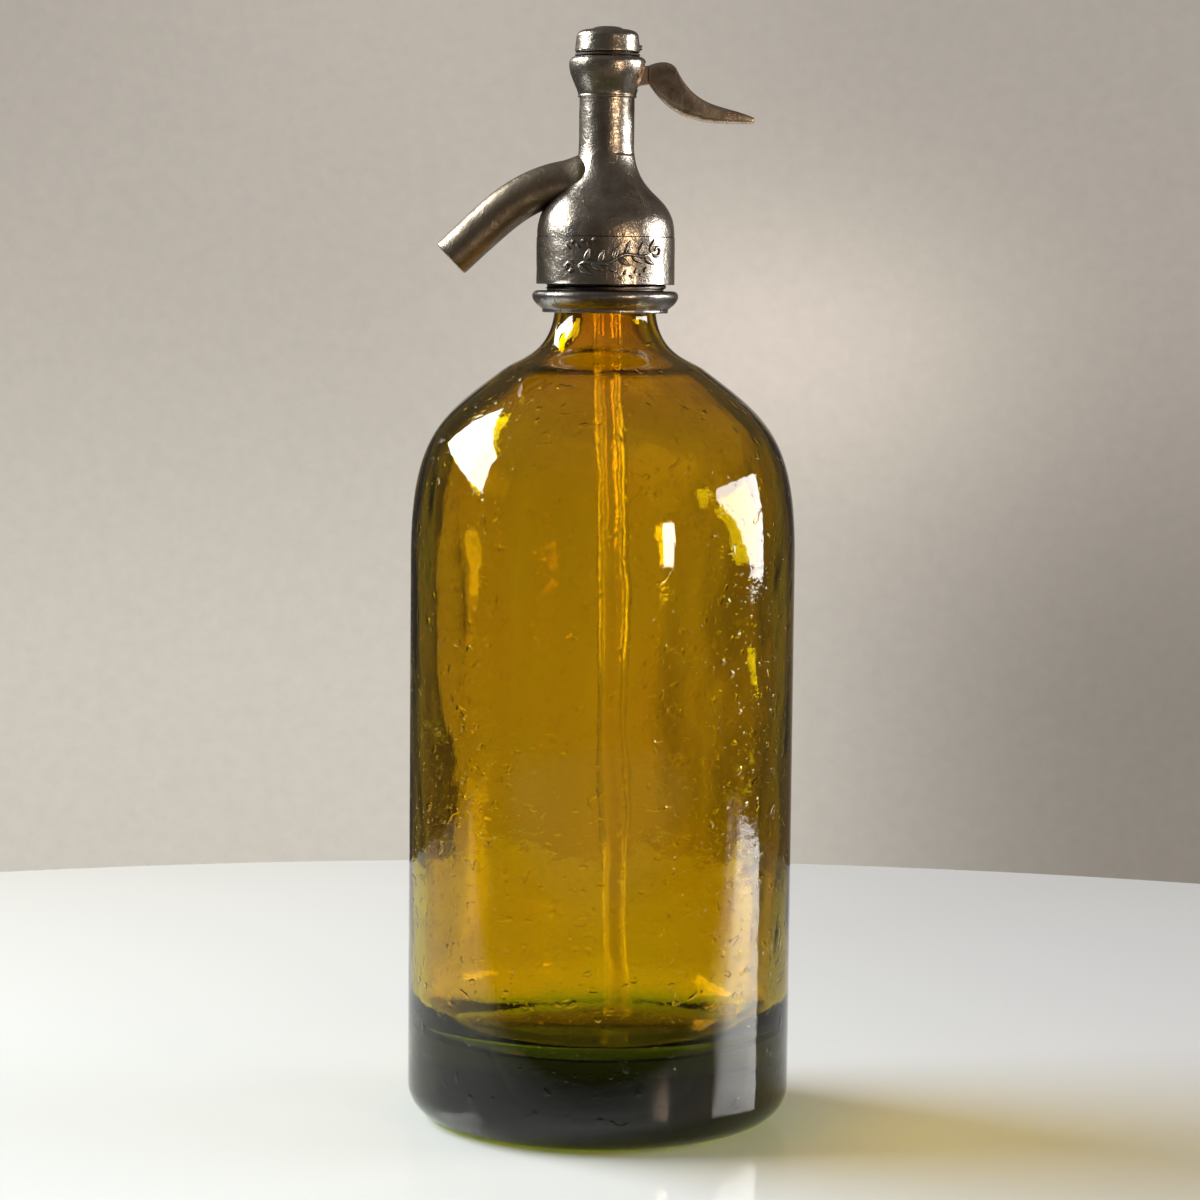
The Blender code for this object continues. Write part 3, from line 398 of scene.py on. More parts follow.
def tidy(obj, sharp=35):
    """Welds a piece's doubled points, turns its faces outwards and shades it smooth between sharp edges."""
    shape = bmesh.new()
    shape.from_mesh(obj.data)
    bmesh.ops.remove_doubles(shape, verts=shape.verts, dist=WELD)
    bmesh.ops.dissolve_degenerate(shape, edges=shape.edges, dist=WELD)
    bmesh.ops.recalc_face_normals(shape, faces=shape.faces)
    shape.to_mesh(obj.data)
    shape.free()
    obj.data.shade_smooth()
    obj.data.set_sharp_from_angle(angle=math.radians(sharp))
    return obj


def turned(name, outline, columns=SMALL_COLUMNS, sharp=35):
    """A solid of revolution; an outline with both ends on the axis closes there."""
    return skin(name, turn(outline, columns), ring_rows=outline[0][0] > 0, sharp=sharp)


def moved(obj, matrix):
    obj.data.transform(matrix)
    return obj


def carve(piece, others, operation="DIFFERENCE", sharp=35):
    """Cuts or joins other solids with a piece, and removes them."""
    for other in others:
        modifier = piece.modifiers.new("carve", "BOOLEAN")
        modifier.operation = operation
        modifier.object = other
    bpy.context.view_layer.update()
    mesh = bpy.data.meshes.new_from_object(piece.evaluated_get(bpy.context.evaluated_depsgraph_get()))
    piece.modifiers.clear()
    piece.data = mesh
    for other in others:
        bpy.data.objects.remove(other, do_unlink=True)
    return tidy(piece, sharp)


def block(name, corner_a, corner_b, edge):
    """A box between two corners, with its edges along Y rounded."""
    (x0, y0, z0), (x1, y1, z1) = corner_a, corner_b
    outline = rounded_ring([(x0, z0, edge), (x1, z0, edge), (x1, z1, edge), (x0, z1, edge)])
    return plate(name, outline, y0, y1)


def plate(name, outline, y0, y1):
    """An outline in the XZ plane with its thickness along Y."""
    flat = np.array(outline)
    grid = np.stack([
        np.stack((flat[:, 0], np.full(len(flat), y), flat[:, 1]), -1) for y in (y0, y1)])
    return skin(name, grid, caps="rows")


def bar(name, radius, centre, half_length, columns=SMALL_COLUMNS):
    """A round bar along Y."""
    rod = turned(
        name, [(0, half_length), (radius, half_length), (radius, -half_length), (0, -half_length)], columns)
    return moved(rod, Matrix.Translation(centre) @ Matrix.Rotation(math.radians(90), 4, "X"))


class Nodes:
    """A shader tree that is built in code."""

    def __init__(self, tree):
        self.tree = tree

    def add(self, kind, inputs=(), **settings):
        node = self.tree.nodes.new("ShaderNode" + kind)
        for key, value in settings.items():
            setattr(node, key, value)
        for key, value in dict(inputs).items():
            self.feed(node.inputs[key], value)
        return node

    def feed(self, socket, value):
        """Links or sets a socket; a colour gets its alpha."""
        if isinstance(value, bpy.types.NodeSocket):
            self.tree.links.new(value, socket)
        elif socket.type == "RGBA":
            socket.default_value = (*value, 1)
        else:
            socket.default_value = value

    def math(self, operation, a, b=0.0, c=0.0):
        return self.add("Math", {0: a, 1: b, 2: c}, operation=operation).outputs[0]

    def times(self, a, b):
        return self.math("MULTIPLY", a, b)

    def between(self, value, start, end, low=0.0, high=1.0, kind="LINEAR"):
        """Goes from low to high while the value goes from start to end."""
        return self.add("MapRange", {
            "Value": value, "From Min": start, "From Max": end, "To Min": low, "To Max": high},
            interpolation_type=kind).outputs[0]

    def blend(self, factor, a, b, mode="MIX"):
        node = self.add("Mix", {0: factor, 6: a, 7: b}, data_type="RGBA", blend_type=mode)
        return node.outputs[2]


class Paint(Nodes):
    """One procedural material: a Principled shader and the nodes that feed it."""

    def __init__(self, name):
        self.material = bpy.data.materials.new(name)
        self.material.use_nodes = True
        super().__init__(self.material.node_tree)
        self.shader = self.tree.nodes["Principled BSDF"]
        self.output = self.tree.nodes["Material Output"]
        self.place = self.add("TexCoord").outputs["Object"]

    def set(self, **values):
        """Sets or links the shader's sockets, named with underscores for spaces."""
        for key, value in values.items():
            self.feed(self.shader.inputs[key.replace("_", " ")], value)

    def noise(self, size, detail=3.0, roughness=0.55, stretch=(1, 1, 1), distortion=0.0):
        """Noise whose bumps are about size across, in metres, longer where stretch is below 1."""
        place = self.add("Mapping", {"Vector": self.place, "Scale": stretch}).outputs["Vector"]
        return self.add("TexNoise", {
            "Vector": place, "Scale": 1 / size, "Detail": detail, "Roughness": roughness,
            "Distortion": distortion}).outputs["Fac"]

    def ramp(self, factor, *stops):
        """Grey steps along a factor, each (position, value)."""
        node = self.add("ValToRGB", {"Fac": factor})
        elements = node.color_ramp.elements
        while len(elements) < len(stops):
            elements.new(0.5)
        for element, (position, value) in zip(elements, stops):
            element.position = position
            element.color = (value, value, value, 1)
        return node.outputs["Color"]

    def bump(self, *layers):
        """Bump from (height, depth in metres) layers, one on another."""
        normal = None
        for height, depth in layers:
            inputs = {"Height": height, "Distance": depth, "Strength": 1.0}
            if normal is not None:
                inputs["Normal"] = normal
            normal = self.add("Bump", inputs).outputs["Normal"]
        self.feed(self.shader.inputs["Normal"], normal)

    def tint_shadow(self, colour):
        """Lets the rays that only cast the shadow through, with a tint."""
        clear = self.add("BsdfTransparent", {"Color": colour}).outputs[0]
        shadow = self.add("LightPath").outputs["Is Shadow Ray"]
        mix = self.add("MixShader", {0: shadow, 1: self.shader.outputs[0], 2: clear})
        self.feed(self.output.inputs["Surface"], mix.outputs[0])


def dress(obj, paint, slot, *nodes, body="root"):
    """Gives a piece its finish, lets it ride on its body and hides the solids it replaces."""
    obj.data.materials.clear()
    obj.data.materials.append(paint.material)
    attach(obj, body)
    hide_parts(*nodes)


def amber_glass():
    """Thick amber glass: browner and more olive streaks, and an olive black where the base is deep."""
    paint = Paint("amber_glass")
    streak = paint.noise(0.016, detail=4, stretch=(1, 1, 0.22), distortion=0.6)
    cloud = paint.noise(0.045, detail=3)
    amber = paint.blend(
        paint.ramp(streak, (0.35, 0.0), (0.65, 1.0)), (0.90, 0.62, 0.015), (0.93, 0.69, 0.015))
    olive = paint.blend(paint.ramp(cloud, (0.40, 0.0), (0.66, 1.0)), amber, (0.87, 0.66, 0.015))
    height = paint.add("SeparateXYZ", {"Vector": paint.place}).outputs["Z"]
    body = paint.blend(paint.between(height, *NECK_TINT_HEIGHTS), olive, (0.89, 0.53, 0.008))
    deep = paint.between(height, *DEEP_GLASS_HEIGHTS)
    paint.set(
        Base_Color=paint.blend(deep, body, (0.40, 0.72, 0.045)),
        Roughness=0.0, IOR=GLASS_IOR, Transmission_Weight=1.0)
    seed = paint.ramp(paint.noise(0.0030, detail=0), (0.19, 1.0), (0.25, 0.0))
    pit = paint.ramp(paint.noise(0.0011, detail=0, distortion=0.4), (0.17, 1.0), (0.22, 0.0))
    paint.bump(
        (paint.noise(0.011, detail=2), 0.00008),
        (paint.noise(0.0017, detail=3), 0.000016),
        (seed, 0.00008), (pit, 0.00004))
    absorb = paint.add("VolumeAbsorption", {"Color": (0.86, 0.86, 0.015), "Density": GLASS_DENSITY})
    paint.feed(paint.output.inputs["Volume"], absorb.outputs[0])
    paint.tint_shadow(paint.blend(deep, (0.82, 0.76, 0.74), (0.36, 0.345, 0.325)))
    return paint


def tube_glass():
    """The dip tube's pale glass."""
    paint = Paint("tube_glass")
    streak = paint.noise(0.006, detail=3, stretch=(1, 1, 0.1))
    paint.set(
        Base_Color=paint.blend(streak, (1.0, 0.98, 0.86), (1.0, 0.94, 0.76)),
        Roughness=0.02, IOR=1.03, Transmission_Weight=0.95, Coat_Weight=1.0, Coat_IOR=1.9,
        Coat_Roughness=0.03)
    paint.bump((paint.noise(0.012, detail=2, stretch=(1, 1, 0.4)), 0.0001))
    paint.tint_shadow((0.9, 0.86, 0.76))
    return paint


def cast_metal(name, bright, dull, grime_and_shade, roughness, grain=1.0):
    """Worn cast metal: mottled tarnish, dark freckles of dirt, creases darkened by ambient occlusion as patina
    and painted shade, pits, dents and fine scratches.
    """
    paint = Paint(name)
    mottle = paint.ramp(paint.noise(0.006, detail=5, roughness=0.6, distortion=0.4), (0.34, 0.0), (0.68, 1.0))
    freckle = paint.ramp(paint.noise(0.0011, detail=4, roughness=0.7), (0.56, 0.0), (0.72, 1.0))
    scratch_a = paint.noise(0.0011, detail=2, stretch=(0.10, 0.7, 1.6))
    scratch_b = paint.noise(0.0013, detail=2, stretch=(1.5, 0.7, 0.12))
    scratch = paint.math("MAXIMUM", paint.ramp(scratch_a, (0.66, 0.0), (0.72, 1.0)),
                         paint.ramp(scratch_b, (0.66, 0.0), (0.73, 1.0)))
    corner = paint.ramp(paint.add("NewGeometry").outputs["Pointiness"], (0.44, 0.0), (0.50, 0.5), (0.56, 1.0))
    # Ambient occlusion darkens the creases towards the dirt colour: partly patina in the hollows, partly
    # painted shade.
    hollow = paint.add("AmbientOcclusion", {"Distance": 0.004}, samples=6).outputs["AO"]
    crease_grime_and_shade = paint.ramp(hollow, (0.35, 1.0), (0.80, 0.0))
    colour = paint.blend(mottle, dull, bright)
    colour = paint.blend(paint.times(freckle, 0.45), colour, grime_and_shade)
    colour = paint.blend(paint.times(scratch, 0.35), colour, bright)
    colour = paint.blend(paint.ramp(corner, (0.55, 0.0), (0.95, 0.6)), colour, bright)
    colour = paint.blend(crease_grime_and_shade, colour, grime_and_shade)
    wear = paint.math("ADD", paint.times(mottle, -0.6), paint.math("ADD", freckle, crease_grime_and_shade))
    paint.set(Base_Color=colour, Metallic=1.0, Roughness=paint.between(wear, -0.6, 1.0, *roughness))
    paint.bump(
        (paint.noise(0.009, detail=2), 0.00030 * grain),
        (paint.noise(0.0026, detail=2), 0.00013 * grain),
        (paint.noise(0.0012, detail=2), 0.00005 * grain),
        (paint.noise(0.0006, detail=2, roughness=0.65), 0.00004 * grain),
        (paint.times(scratch, -1.0), 0.00002 * grain))
    return paint


def machined_brass():
    """Turned brass that has been in water: rings from the lathe and brown stains."""
    paint = Paint("brass")
    stain = paint.ramp(paint.noise(0.0022, detail=4), (0.40, 0.0), (0.70, 1.0))
    rings = paint.noise(0.0006, detail=2, stretch=(0.02, 0.02, 1))
    paint.set(
        Base_Color=paint.blend(stain, (0.66, 0.47, 0.19), (0.30, 0.19, 0.08)), Metallic=1.0,
        Roughness=paint.between(stain, 0, 1, 0.28, 0.55))
    paint.bump((rings, 0.00003))
    return paint


def bare_steel():
    """Steel with dull spots."""
    paint = Paint("steel")
    spot = paint.ramp(paint.noise(0.0009, detail=4), (0.45, 0.0), (0.65, 1.0))
    paint.set(
        Base_Color=paint.blend(spot, (0.52, 0.50, 0.47), (0.17, 0.12, 0.09)), Metallic=1.0,
        Roughness=paint.between(spot, 0, 1, 0.3, 0.6))
    paint.bump((spot, 0.00002))
    return paint


def soft_seal(name, colour, worn, size):
    """Rubber or leather: matt, grained, paler where it has worn."""
    paint = Paint(name)
    wear = paint.ramp(paint.noise(size * 4, detail=4), (0.45, 0.0), (0.75, 1.0))
    paint.set(
        Base_Color=paint.blend(wear, colour, worn),
        Roughness=paint.between(wear, 0, 1, 0.6, 0.9))
    paint.bump((paint.noise(size, detail=5, roughness=0.7), 0.00008))
    return paint


def build_bottle(paint):
    """The glass, its outside true and its inside wavy, with a rolled lip, a thick base and a punt."""
    run, rise = math.cos(SHOULDER_SLOPE), math.sin(SHOULDER_SLOPE)
    joint = (SHOULDER_END_RADIUS, SHOULDER_TOP)
    sweep = bezier(
        (NECK_RADIUS, NECK_BOTTOM), (NECK_RADIUS, NECK_BOTTOM - NECK_UPPER_PULL),
        (joint[0] - NECK_LOWER_PULL * run, joint[1] + NECK_LOWER_PULL * rise), joint, 24)
    shoulder = bezier(
        joint, (joint[0] + SHOULDER_UPPER_PULL * run, joint[1] - SHOULDER_UPPER_PULL * rise),
        (BODY_RADIUS, SHOULDER_HEIGHT + SHOULDER_LOWER_PULL), (BODY_RADIUS, SHOULDER_HEIGHT), 44)
    curve = sweep + shoulder[1:]
    inner_radius = BODY_RADIUS - GLASS_WALL
    neck = stretched((NECK_RADIUS, LIP_BOTTOM), (NECK_RADIUS, NECK_BOTTOM), 6)
    body = stretched((BODY_RADIUS, SHOULDER_HEIGHT), (BODY_RADIUS, HEEL_RADIUS), 36)
    heel = [
        (BODY_RADIUS - HEEL_RADIUS * (1 - math.cos(a)), HEEL_RADIUS * (1 - math.sin(a)))
        for a in np.linspace(0, math.pi / 2, 12)[1:]]
    outer = rounded([
        (BORE_RADIUS, LIP_TOP - EDGE_ROUND * 2, 0), (BORE_RADIUS, LIP_TOP, EDGE_ROUND),
        (LIP_RADIUS, LIP_TOP, LIP_ROUND), (LIP_RADIUS, LIP_BOTTOM, LIP_ROUND),
        (NECK_RADIUS, LIP_BOTTOM, EDGE_ROUND / 2), (NECK_RADIUS, LIP_BOTTOM - EDGE_ROUND * 2, 0)])
    outer += neck + curve[1:] + body + heel
    outer += [
        (FOOT_INNER_RADIUS + EDGE_ROUND, 0), (FOOT_INNER_RADIUS - EDGE_ROUND, PUNT_RISE / 6),
        (FOOT_INNER_RADIUS * 0.75, PUNT_RISE * 0.7), (FOOT_INNER_RADIUS / 2, PUNT_RISE), (0, PUNT_RISE)]
    floor = [(r, FLOOR_HEIGHT) for r in np.linspace(0, inner_radius - FLOOR_CORNER, 14)]
    corner = [
        (inner_radius - FLOOR_CORNER * (1 - math.sin(a)), FLOOR_HEIGHT + FLOOR_CORNER * (1 - math.cos(a)))
        for a in np.linspace(0, math.pi / 2, 12)[1:]]
    wall = stretched((inner_radius, FLOOR_HEIGHT + FLOOR_CORNER), (inner_radius, SHOULDER_HEIGHT), 90)
    inside = offset(curve, GLASS_WALL)
    inside[0] = (BORE_RADIUS, NECK_BOTTOM)
    upper = inside[-2::-1] + stretched(
        (BORE_RADIUS, NECK_BOTTOM), (BORE_RADIUS, LIP_TOP - EDGE_ROUND * 2), 6)[:-1]
    inner = floor + corner + wall + upper
    grid = turn(inner + outer, BOTTLE_COLUMNS)
    waved = len(inner) - 8
    steps = np.arange(waved - len(floor))
    depth = np.zeros(len(inner) + len(outer))
    depth[len(floor):waved] = np.clip(steps / 24, 0, 1) * np.clip((len(steps) - 1 - steps) / 20, 0, 1)
    wave = (
        INNER_WAVE * ripples(grid, 0.042, 5) + INNER_STREAK * ripples(grid * (1, 1, 0.15), 0.010, 6)
        + INNER_DIMPLE * ripples(grid, 0.0075, 7, 40))
    push_out(grid, depth[:, None] * wave)
    glass = skin("bottle_glass", grid, sharp=50)
    dress(glass, paint, "amber_glass", "bottle")


def build_dip_tube(paint):
    """Glass tube with a bead at its top, tilted about it."""
    top = high("dip_tube").z - math.sin(TUBE_TILT) * TUBE_BEAD_RADIUS
    length = top - low("dip_tube").z - math.sin(TUBE_TILT) * TUBE_RADIUS
    bore = TUBE_RADIUS - TUBE_WALL
    outline = rounded([
        (bore, -TUBE_WALL, 0), (bore, 0, EDGE_ROUND), (TUBE_BEAD_RADIUS, 0, EDGE_ROUND),
        (TUBE_BEAD_RADIUS, -TUBE_BEAD_HEIGHT, EDGE_ROUND), (TUBE_RADIUS, -TUBE_BEAD_HEIGHT, EDGE_ROUND / 2),
        (TUBE_RADIUS, -2 * TUBE_BEAD_HEIGHT, 0)])
    outline += stretched((TUBE_RADIUS, -2 * TUBE_BEAD_HEIGHT), (TUBE_RADIUS, -length + EDGE_ROUND), 40)
    outline += rounded([
        (TUBE_RADIUS, -length + EDGE_ROUND, 0), (TUBE_RADIUS, -length, EDGE_ROUND),
        (bore, -length, EDGE_ROUND), (bore, -length + EDGE_ROUND, 0)])[1:]
    outline += stretched((bore, -length + EDGE_ROUND), (bore, -TUBE_WALL), 40)[:-1]
    grid = turn(outline, SMALL_COLUMNS)
    tube = skin("dip_tube_glass", grid, ring_rows=True, sharp=50)
    moved(tube, Matrix.Translation((0, 0, top)) @ Matrix.Rotation(-TUBE_TILT, 4, "Y"))
    dress(tube, paint, "tube_glass", "dip_tube")


def build_collar(paint):
    """The collar's two halves, with their thread, bead and seam."""
    bore = NECK_RADIUS + EDGE_ROUND
    core = COLLAR_SCREW_RADIUS - THREAD_DEPTH
    flange = rounded([
        (core, FLANGE_TOP + EDGE_ROUND, 0),
        (core, FLANGE_TOP, EDGE_ROUND / 2),
        (FLANGE_RADIUS - FLANGE_BEAD_RADIUS / 2, FLANGE_TOP, FLANGE_BEAD_RADIUS),
        (FLANGE_RADIUS, FLANGE_TOP - FLANGE_BEAD_RADIUS * 1.1, FLANGE_BEAD_RADIUS),
        (FLANGE_RADIUS - FLANGE_BEAD_RADIUS * 0.7, FLANGE_TOP - FLANGE_BEAD_RADIUS * 2.5, FLANGE_BEAD_RADIUS),
        (FLANGE_FOOT_RADIUS, COLLAR_BOTTOM + EDGE_ROUND * 2.5, EDGE_ROUND),
        (FLANGE_FOOT_RADIUS, COLLAR_BOTTOM, EDGE_ROUND),
        (bore + EDGE_ROUND, COLLAR_BOTTOM, EDGE_ROUND), (bore, COLLAR_BOTTOM + EDGE_ROUND * 3, EDGE_ROUND),
        (bore, COLLAR_TOP, EDGE_ROUND / 2),
        (core, COLLAR_TOP, EDGE_ROUND)])
    thread = stretched((core, COLLAR_TOP), (core, FLANGE_TOP + EDGE_ROUND), 56)[:-1]
    outline = flange + thread
    on_thread = np.arange(len(outline)) >= len(flange)
    gap = SEAM_GAP / FLANGE_RADIUS
    for side, start in (("left", COLLAR_SEAM_ANGLE - math.pi), ("right", COLLAR_SEAM_ANGLE)):
        grid = turn(outline, HEAD_COLUMNS // 2, start + gap, math.pi - 2 * gap)
        angle = np.arctan2(grid[..., 1], grid[..., 0])
        phase = (grid[..., 2] / THREAD_PITCH - angle / TAU) % 1
        crest = np.clip(1.5 - np.abs(phase - 0.5) * 4, 0, 1) * THREAD_DEPTH
        push_out(grid, crest * on_thread[:, None])
        half = skin("collar_" + side, grid, ring_rows=True, ring_columns=False, caps="columns")
        dress(half, paint, "pewter", "collar_half_" + side)


def head_outline(grow=0.0):
    """The head's outside from the cup's rim down to the bell's mouth."""
    flare = CUP_BOTTOM + CUP_FLARE_HEIGHT
    cup = rounded([
        (CUP_RIM_RADIUS - EDGE_ROUND, CUP_TOP, 0), (CUP_RIM_RADIUS, CUP_TOP, EDGE_ROUND),
        (CUP_RADIUS, CUP_TOP - 2 * EDGE_ROUND, EDGE_ROUND * 2), (CUP_RADIUS, flare, 0)])
    cup += bezier(
        (CUP_RADIUS, flare), (CUP_RADIUS - EDGE_ROUND / 2, flare - CUP_FLARE_HEIGHT / 3),
        (CUP_FOOT_RADIUS + EDGE_ROUND, CUP_BOTTOM + CUP_FLARE_HEIGHT / 3),
        (CUP_FOOT_RADIUS, CUP_BOTTOM + EDGE_ROUND * 2), 16)[1:]
    cup += rounded([
        (CUP_FOOT_RADIUS, CUP_BOTTOM + EDGE_ROUND * 2, 0),
        (CUP_FOOT_RADIUS + EDGE_ROUND / 3, CUP_BOTTOM + EDGE_ROUND, EDGE_ROUND),
        (CUP_FOOT_RADIUS, CUP_BOTTOM, EDGE_ROUND / 2), (COLUMN_RADIUS, CUP_BOTTOM, EDGE_ROUND / 4),
        (COLUMN_RADIUS, CUP_BOTTOM - EDGE_ROUND, 0)])[1:]
    column = stretched((COLUMN_RADIUS, CUP_BOTTOM - EDGE_ROUND), (COLUMN_RADIUS, COLUMN_BOTTOM), 12)
    sweep = bezier(
        (COLUMN_RADIUS, COLUMN_BOTTOM), (COLUMN_RADIUS, COLUMN_BOTTOM - BELL_UPPER_PULL),
        (BELL_TOP_RADIUS, BELL_SHOULDER + BELL_LOWER_PULL), (BELL_TOP_RADIUS, BELL_SHOULDER), 220)[1:]
    bell = [
        (BELL_TOP_RADIUS - CREASE, BELL_SHOULDER - CREASE),
        (BELL_TOP_RADIUS + CREASE, BELL_SHOULDER - 2 * CREASE)]
    bell += stretched(bell[-1], (BELL_RADIUS, BELL_MOUTH + EDGE_ROUND), 16)
    bell += rounded([
        (BELL_RADIUS, BELL_MOUTH + EDGE_ROUND, 0), (BELL_RADIUS, BELL_MOUTH, EDGE_ROUND * 0.6),
        (BELL_RADIUS - EDGE_ROUND, BELL_MOUTH, 0)])[1:]
    return [(r + grow, z) for r, z in cup + column + sweep + bell]


def spout_line(steps):
    """The spout's centre line in the XZ plane, from inside the head out to its mouth."""
    root = (-SPOUT_ROOT_INSET, BELL_MOUTH + SPOUT_ROOT_HEIGHT)
    tip = (-SPOUT_REACH, BELL_MOUTH + SPOUT_TIP_HEIGHT)
    return bezier(
        root,
        (root[0] - SPOUT_PULL * math.cos(SPOUT_ROOT_SLOPE), root[1] - SPOUT_PULL * math.sin(SPOUT_ROOT_SLOPE)),
        (tip[0] + SPOUT_PULL * math.cos(SPOUT_TIP_SLOPE), tip[1] + SPOUT_PULL * math.sin(SPOUT_TIP_SLOPE)),
        tip, steps)


def pipe_grid(line, radii, columns=SMALL_COLUMNS):
    """Round sections along a line in the XZ plane, each square to it."""
    line = np.array(line)
    way = ways_along(line)
    angle = TAU * np.arange(columns) / columns
    rings = []
    for (x, z), (run, rise), radius in zip(line, way, radii):
        across, up = radius * np.cos(angle), radius * np.sin(angle)
        rings.append(np.stack((x - rise * up, across, z + run * up), -1))
    return np.array(rings)


def build_head(paint):
    """The casting: bell, column and cup, with their bores, the lever's slot and the pin's hole."""
    inside = rounded([
        (BELL_RADIUS - EDGE_ROUND, BELL_MOUTH, 0), (BELL_BORE_RADIUS, BELL_MOUTH, EDGE_ROUND / 2),
        (BELL_BORE_RADIUS, CEILING, EDGE_ROUND), (SPRING_BORE_RADIUS, CEILING, 0),
        (SPRING_BORE_RADIUS, CEILING + SPRING_BORE_RADIUS, 0), (0, CEILING + SPRING_BORE_RADIUS, 0)])[1:]
    top = rounded([
        (0, SPIGOT_TOP - SPRING_BORE_FLOOR, 0), (SPRING_BORE_RADIUS, SPIGOT_TOP - SPRING_BORE_FLOOR, 0),
        (SPRING_BORE_RADIUS, SPIGOT_TOP, EDGE_ROUND / 2), (SPIGOT_RADIUS, SPIGOT_TOP, EDGE_ROUND),
        (SPIGOT_RADIUS, CUP_TOP, EDGE_ROUND / 2), (CUP_RIM_RADIUS - EDGE_ROUND, CUP_TOP, 0)])[:-1]
    outline = top + head_outline() + inside
    grid = turn(outline, HEAD_COLUMNS)
    outer = np.zeros(len(outline))
    outer[len(top) + 8:-len(inside) - 8] = 1
    dents = HEAD_DENT * ripples(grid, 0.011, 11) + HEAD_PIT * ripples(grid, 0.004, 12)
    angle = np.degrees(np.arctan2(grid[..., 1], grid[..., 0]))
    ragged = BELL_SHOULDER + CRACK_RISE + EDGE_ROUND * ripples(grid * (1, 1, 0), 0.006, 13) / 2
    first, last = CRACK_SPAN
    along = np.clip((angle - first) / CRACK_FADE, 0, 1) * np.clip((last - angle) / CRACK_FADE, 0, 1)
    crack = along * np.clip(1 - np.abs(grid[..., 2] - ragged) / CRACK_DEPTH, 0, 1)
    push_out(grid, outer[:, None] * (dents - CRACK_DEPTH * crack))
    head = skin("head_casting", grid)
    slot = block(
        "slot", (PIVOT_REACH / 2, -SLOT_HALF_WIDTH, PIVOT_HEIGHT - SLOT_DROP),
        (CUP_RADIUS * 1.2, SLOT_HALF_WIDTH, PIVOT_HEIGHT + SLOT_HEADROOM), EDGE_ROUND)
    hole = bar("hole", PIN_RADIUS * 1.04, (PIVOT_REACH, 0, PIVOT_HEIGHT), CUP_RADIUS * 1.2, 32)
    water_way = skin("water_way", pipe_grid(spout_line(30), [SPOUT_BORE_RADIUS] * 31, 32), caps="rows")
    carve(head, (slot, hole, water_way))
    dress(head, paint, "pewter", "head_body")


def stroke(line, width, lift):
    """A ridge along a line of (across, up) points on an unrolled surface, as rows of (across, up, lift)."""
    line = np.array(line)
    way = ways_along(line)
    share = np.linspace(0, 1, len(line))
    fade = np.clip(np.minimum(share, 1 - share) * 8, 0.15, 1)
    across = np.linspace(-1, 1, 9)
    side = np.stack((-way[:, 1], way[:, 0]), 1)[:, None]
    flat = line[:, None] + width / 2 * (fade[:, None] * across)[..., None] * side
    height = lift * fade[:, None] * (1 - across ** 2) ** 0.6
    return np.dstack((flat, height))


def leaf(base, turn_by, length, width, lift):
    """A pointed leaf with a groove along its middle."""
    share = np.linspace(0, 1, 15)[:, None]
    across = np.linspace(-1, 1, 11)
    half = width / 2 * np.sin(math.pi * share ** 0.8) * (1 - 0.25 * share)
    u = length * share + 0 * across
    v = half * across + width * 0.25 * share ** 2
    height = lift * (1 - across ** 2) ** 0.5 * np.sin(math.pi * np.clip(share, 0.05, 0.95)) ** 0.3
    height = height - lift * 0.3 * np.exp(-(across / 0.16) ** 2) * (share < 0.9)
    cos, sin = math.cos(turn_by), math.sin(turn_by)
    return np.dstack((base[0] + u * cos - v * sin, base[1] + u * sin + v * cos, height))


def curl(centre, radius, start, turns, steps=36):
    """A spiral that winds inwards round a centre."""
    angle = start + TAU * turns * np.linspace(0, 1, steps)
    reach = radius * (1 - 0.8 * np.linspace(0, 1, steps))
    return np.stack((centre[0] + reach * np.cos(angle), centre[1] + reach * np.sin(angle)), 1)


def wrap(name, patches, radius, facing, sink):
    """Lays patches round an upright surface of revolution, their rims sunk in it by a little, as one mesh."""
    points, faces, start = [], [], 0
    for patch in patches:
        rows, columns = patch.shape[:2]
        rim = np.zeros((rows, columns), bool)
        rim[[0, -1]] = rim[:, [0, -1]] = True
        reach = radius(patch[..., 1]) + np.where(rim, -sink, patch[..., 2])
        angle = facing + patch[..., 0] / radius(patch[..., 1])
        grid = np.stack((reach * np.cos(angle), reach * np.sin(angle), patch[..., 1]), -1)
        index = start + np.arange(rows * columns).reshape(rows, columns)
        faces += cells(index)
        points += grid.reshape(-1, 3).tolist()
        start += rows * columns
    mesh = bpy.data.meshes.new(name)
    mesh.from_pydata(points, [], faces)
    mesh.shade_smooth()
    return link(bpy.data.objects.new(name, mesh))


def vine(start, end, swing, waves, leaf_length, curl_radius, width, lift):
    """A waving stem between two points with leaves on both sides and a curl at each end."""
    start, end = np.array(start), np.array(end)
    share = np.linspace(0, 1, 90)
    way = end - start
    length = np.linalg.norm(way)
    way /= length
    side = np.array((-way[1], way[0]))
    line = start + length * share[:, None] * way + swing * np.sin(TAU * waves * share)[:, None] * side
    slope = math.atan2(way[1], way[0])
    patches = [stroke(line, width, lift)]
    leaves = LEAVES_PER_WAVE * waves
    for step in range(leaves):
        place = line[int((step + 0.5) / leaves * len(line))]
        turn_by = slope + (LEAF_SPREAD if step % 2 else -LEAF_SPREAD)
        patches.append(leaf(place, turn_by, leaf_length, leaf_length * 0.52, lift * 1.1))
    for end_point, out, begin in ((line[0], -way, slope), (line[-1], way, slope + math.pi)):
        spiral = curl(end_point + out * curl_radius, curl_radius, begin, 1.1)
        patches.append(stroke(spiral, width * 0.9, lift))
    return patches


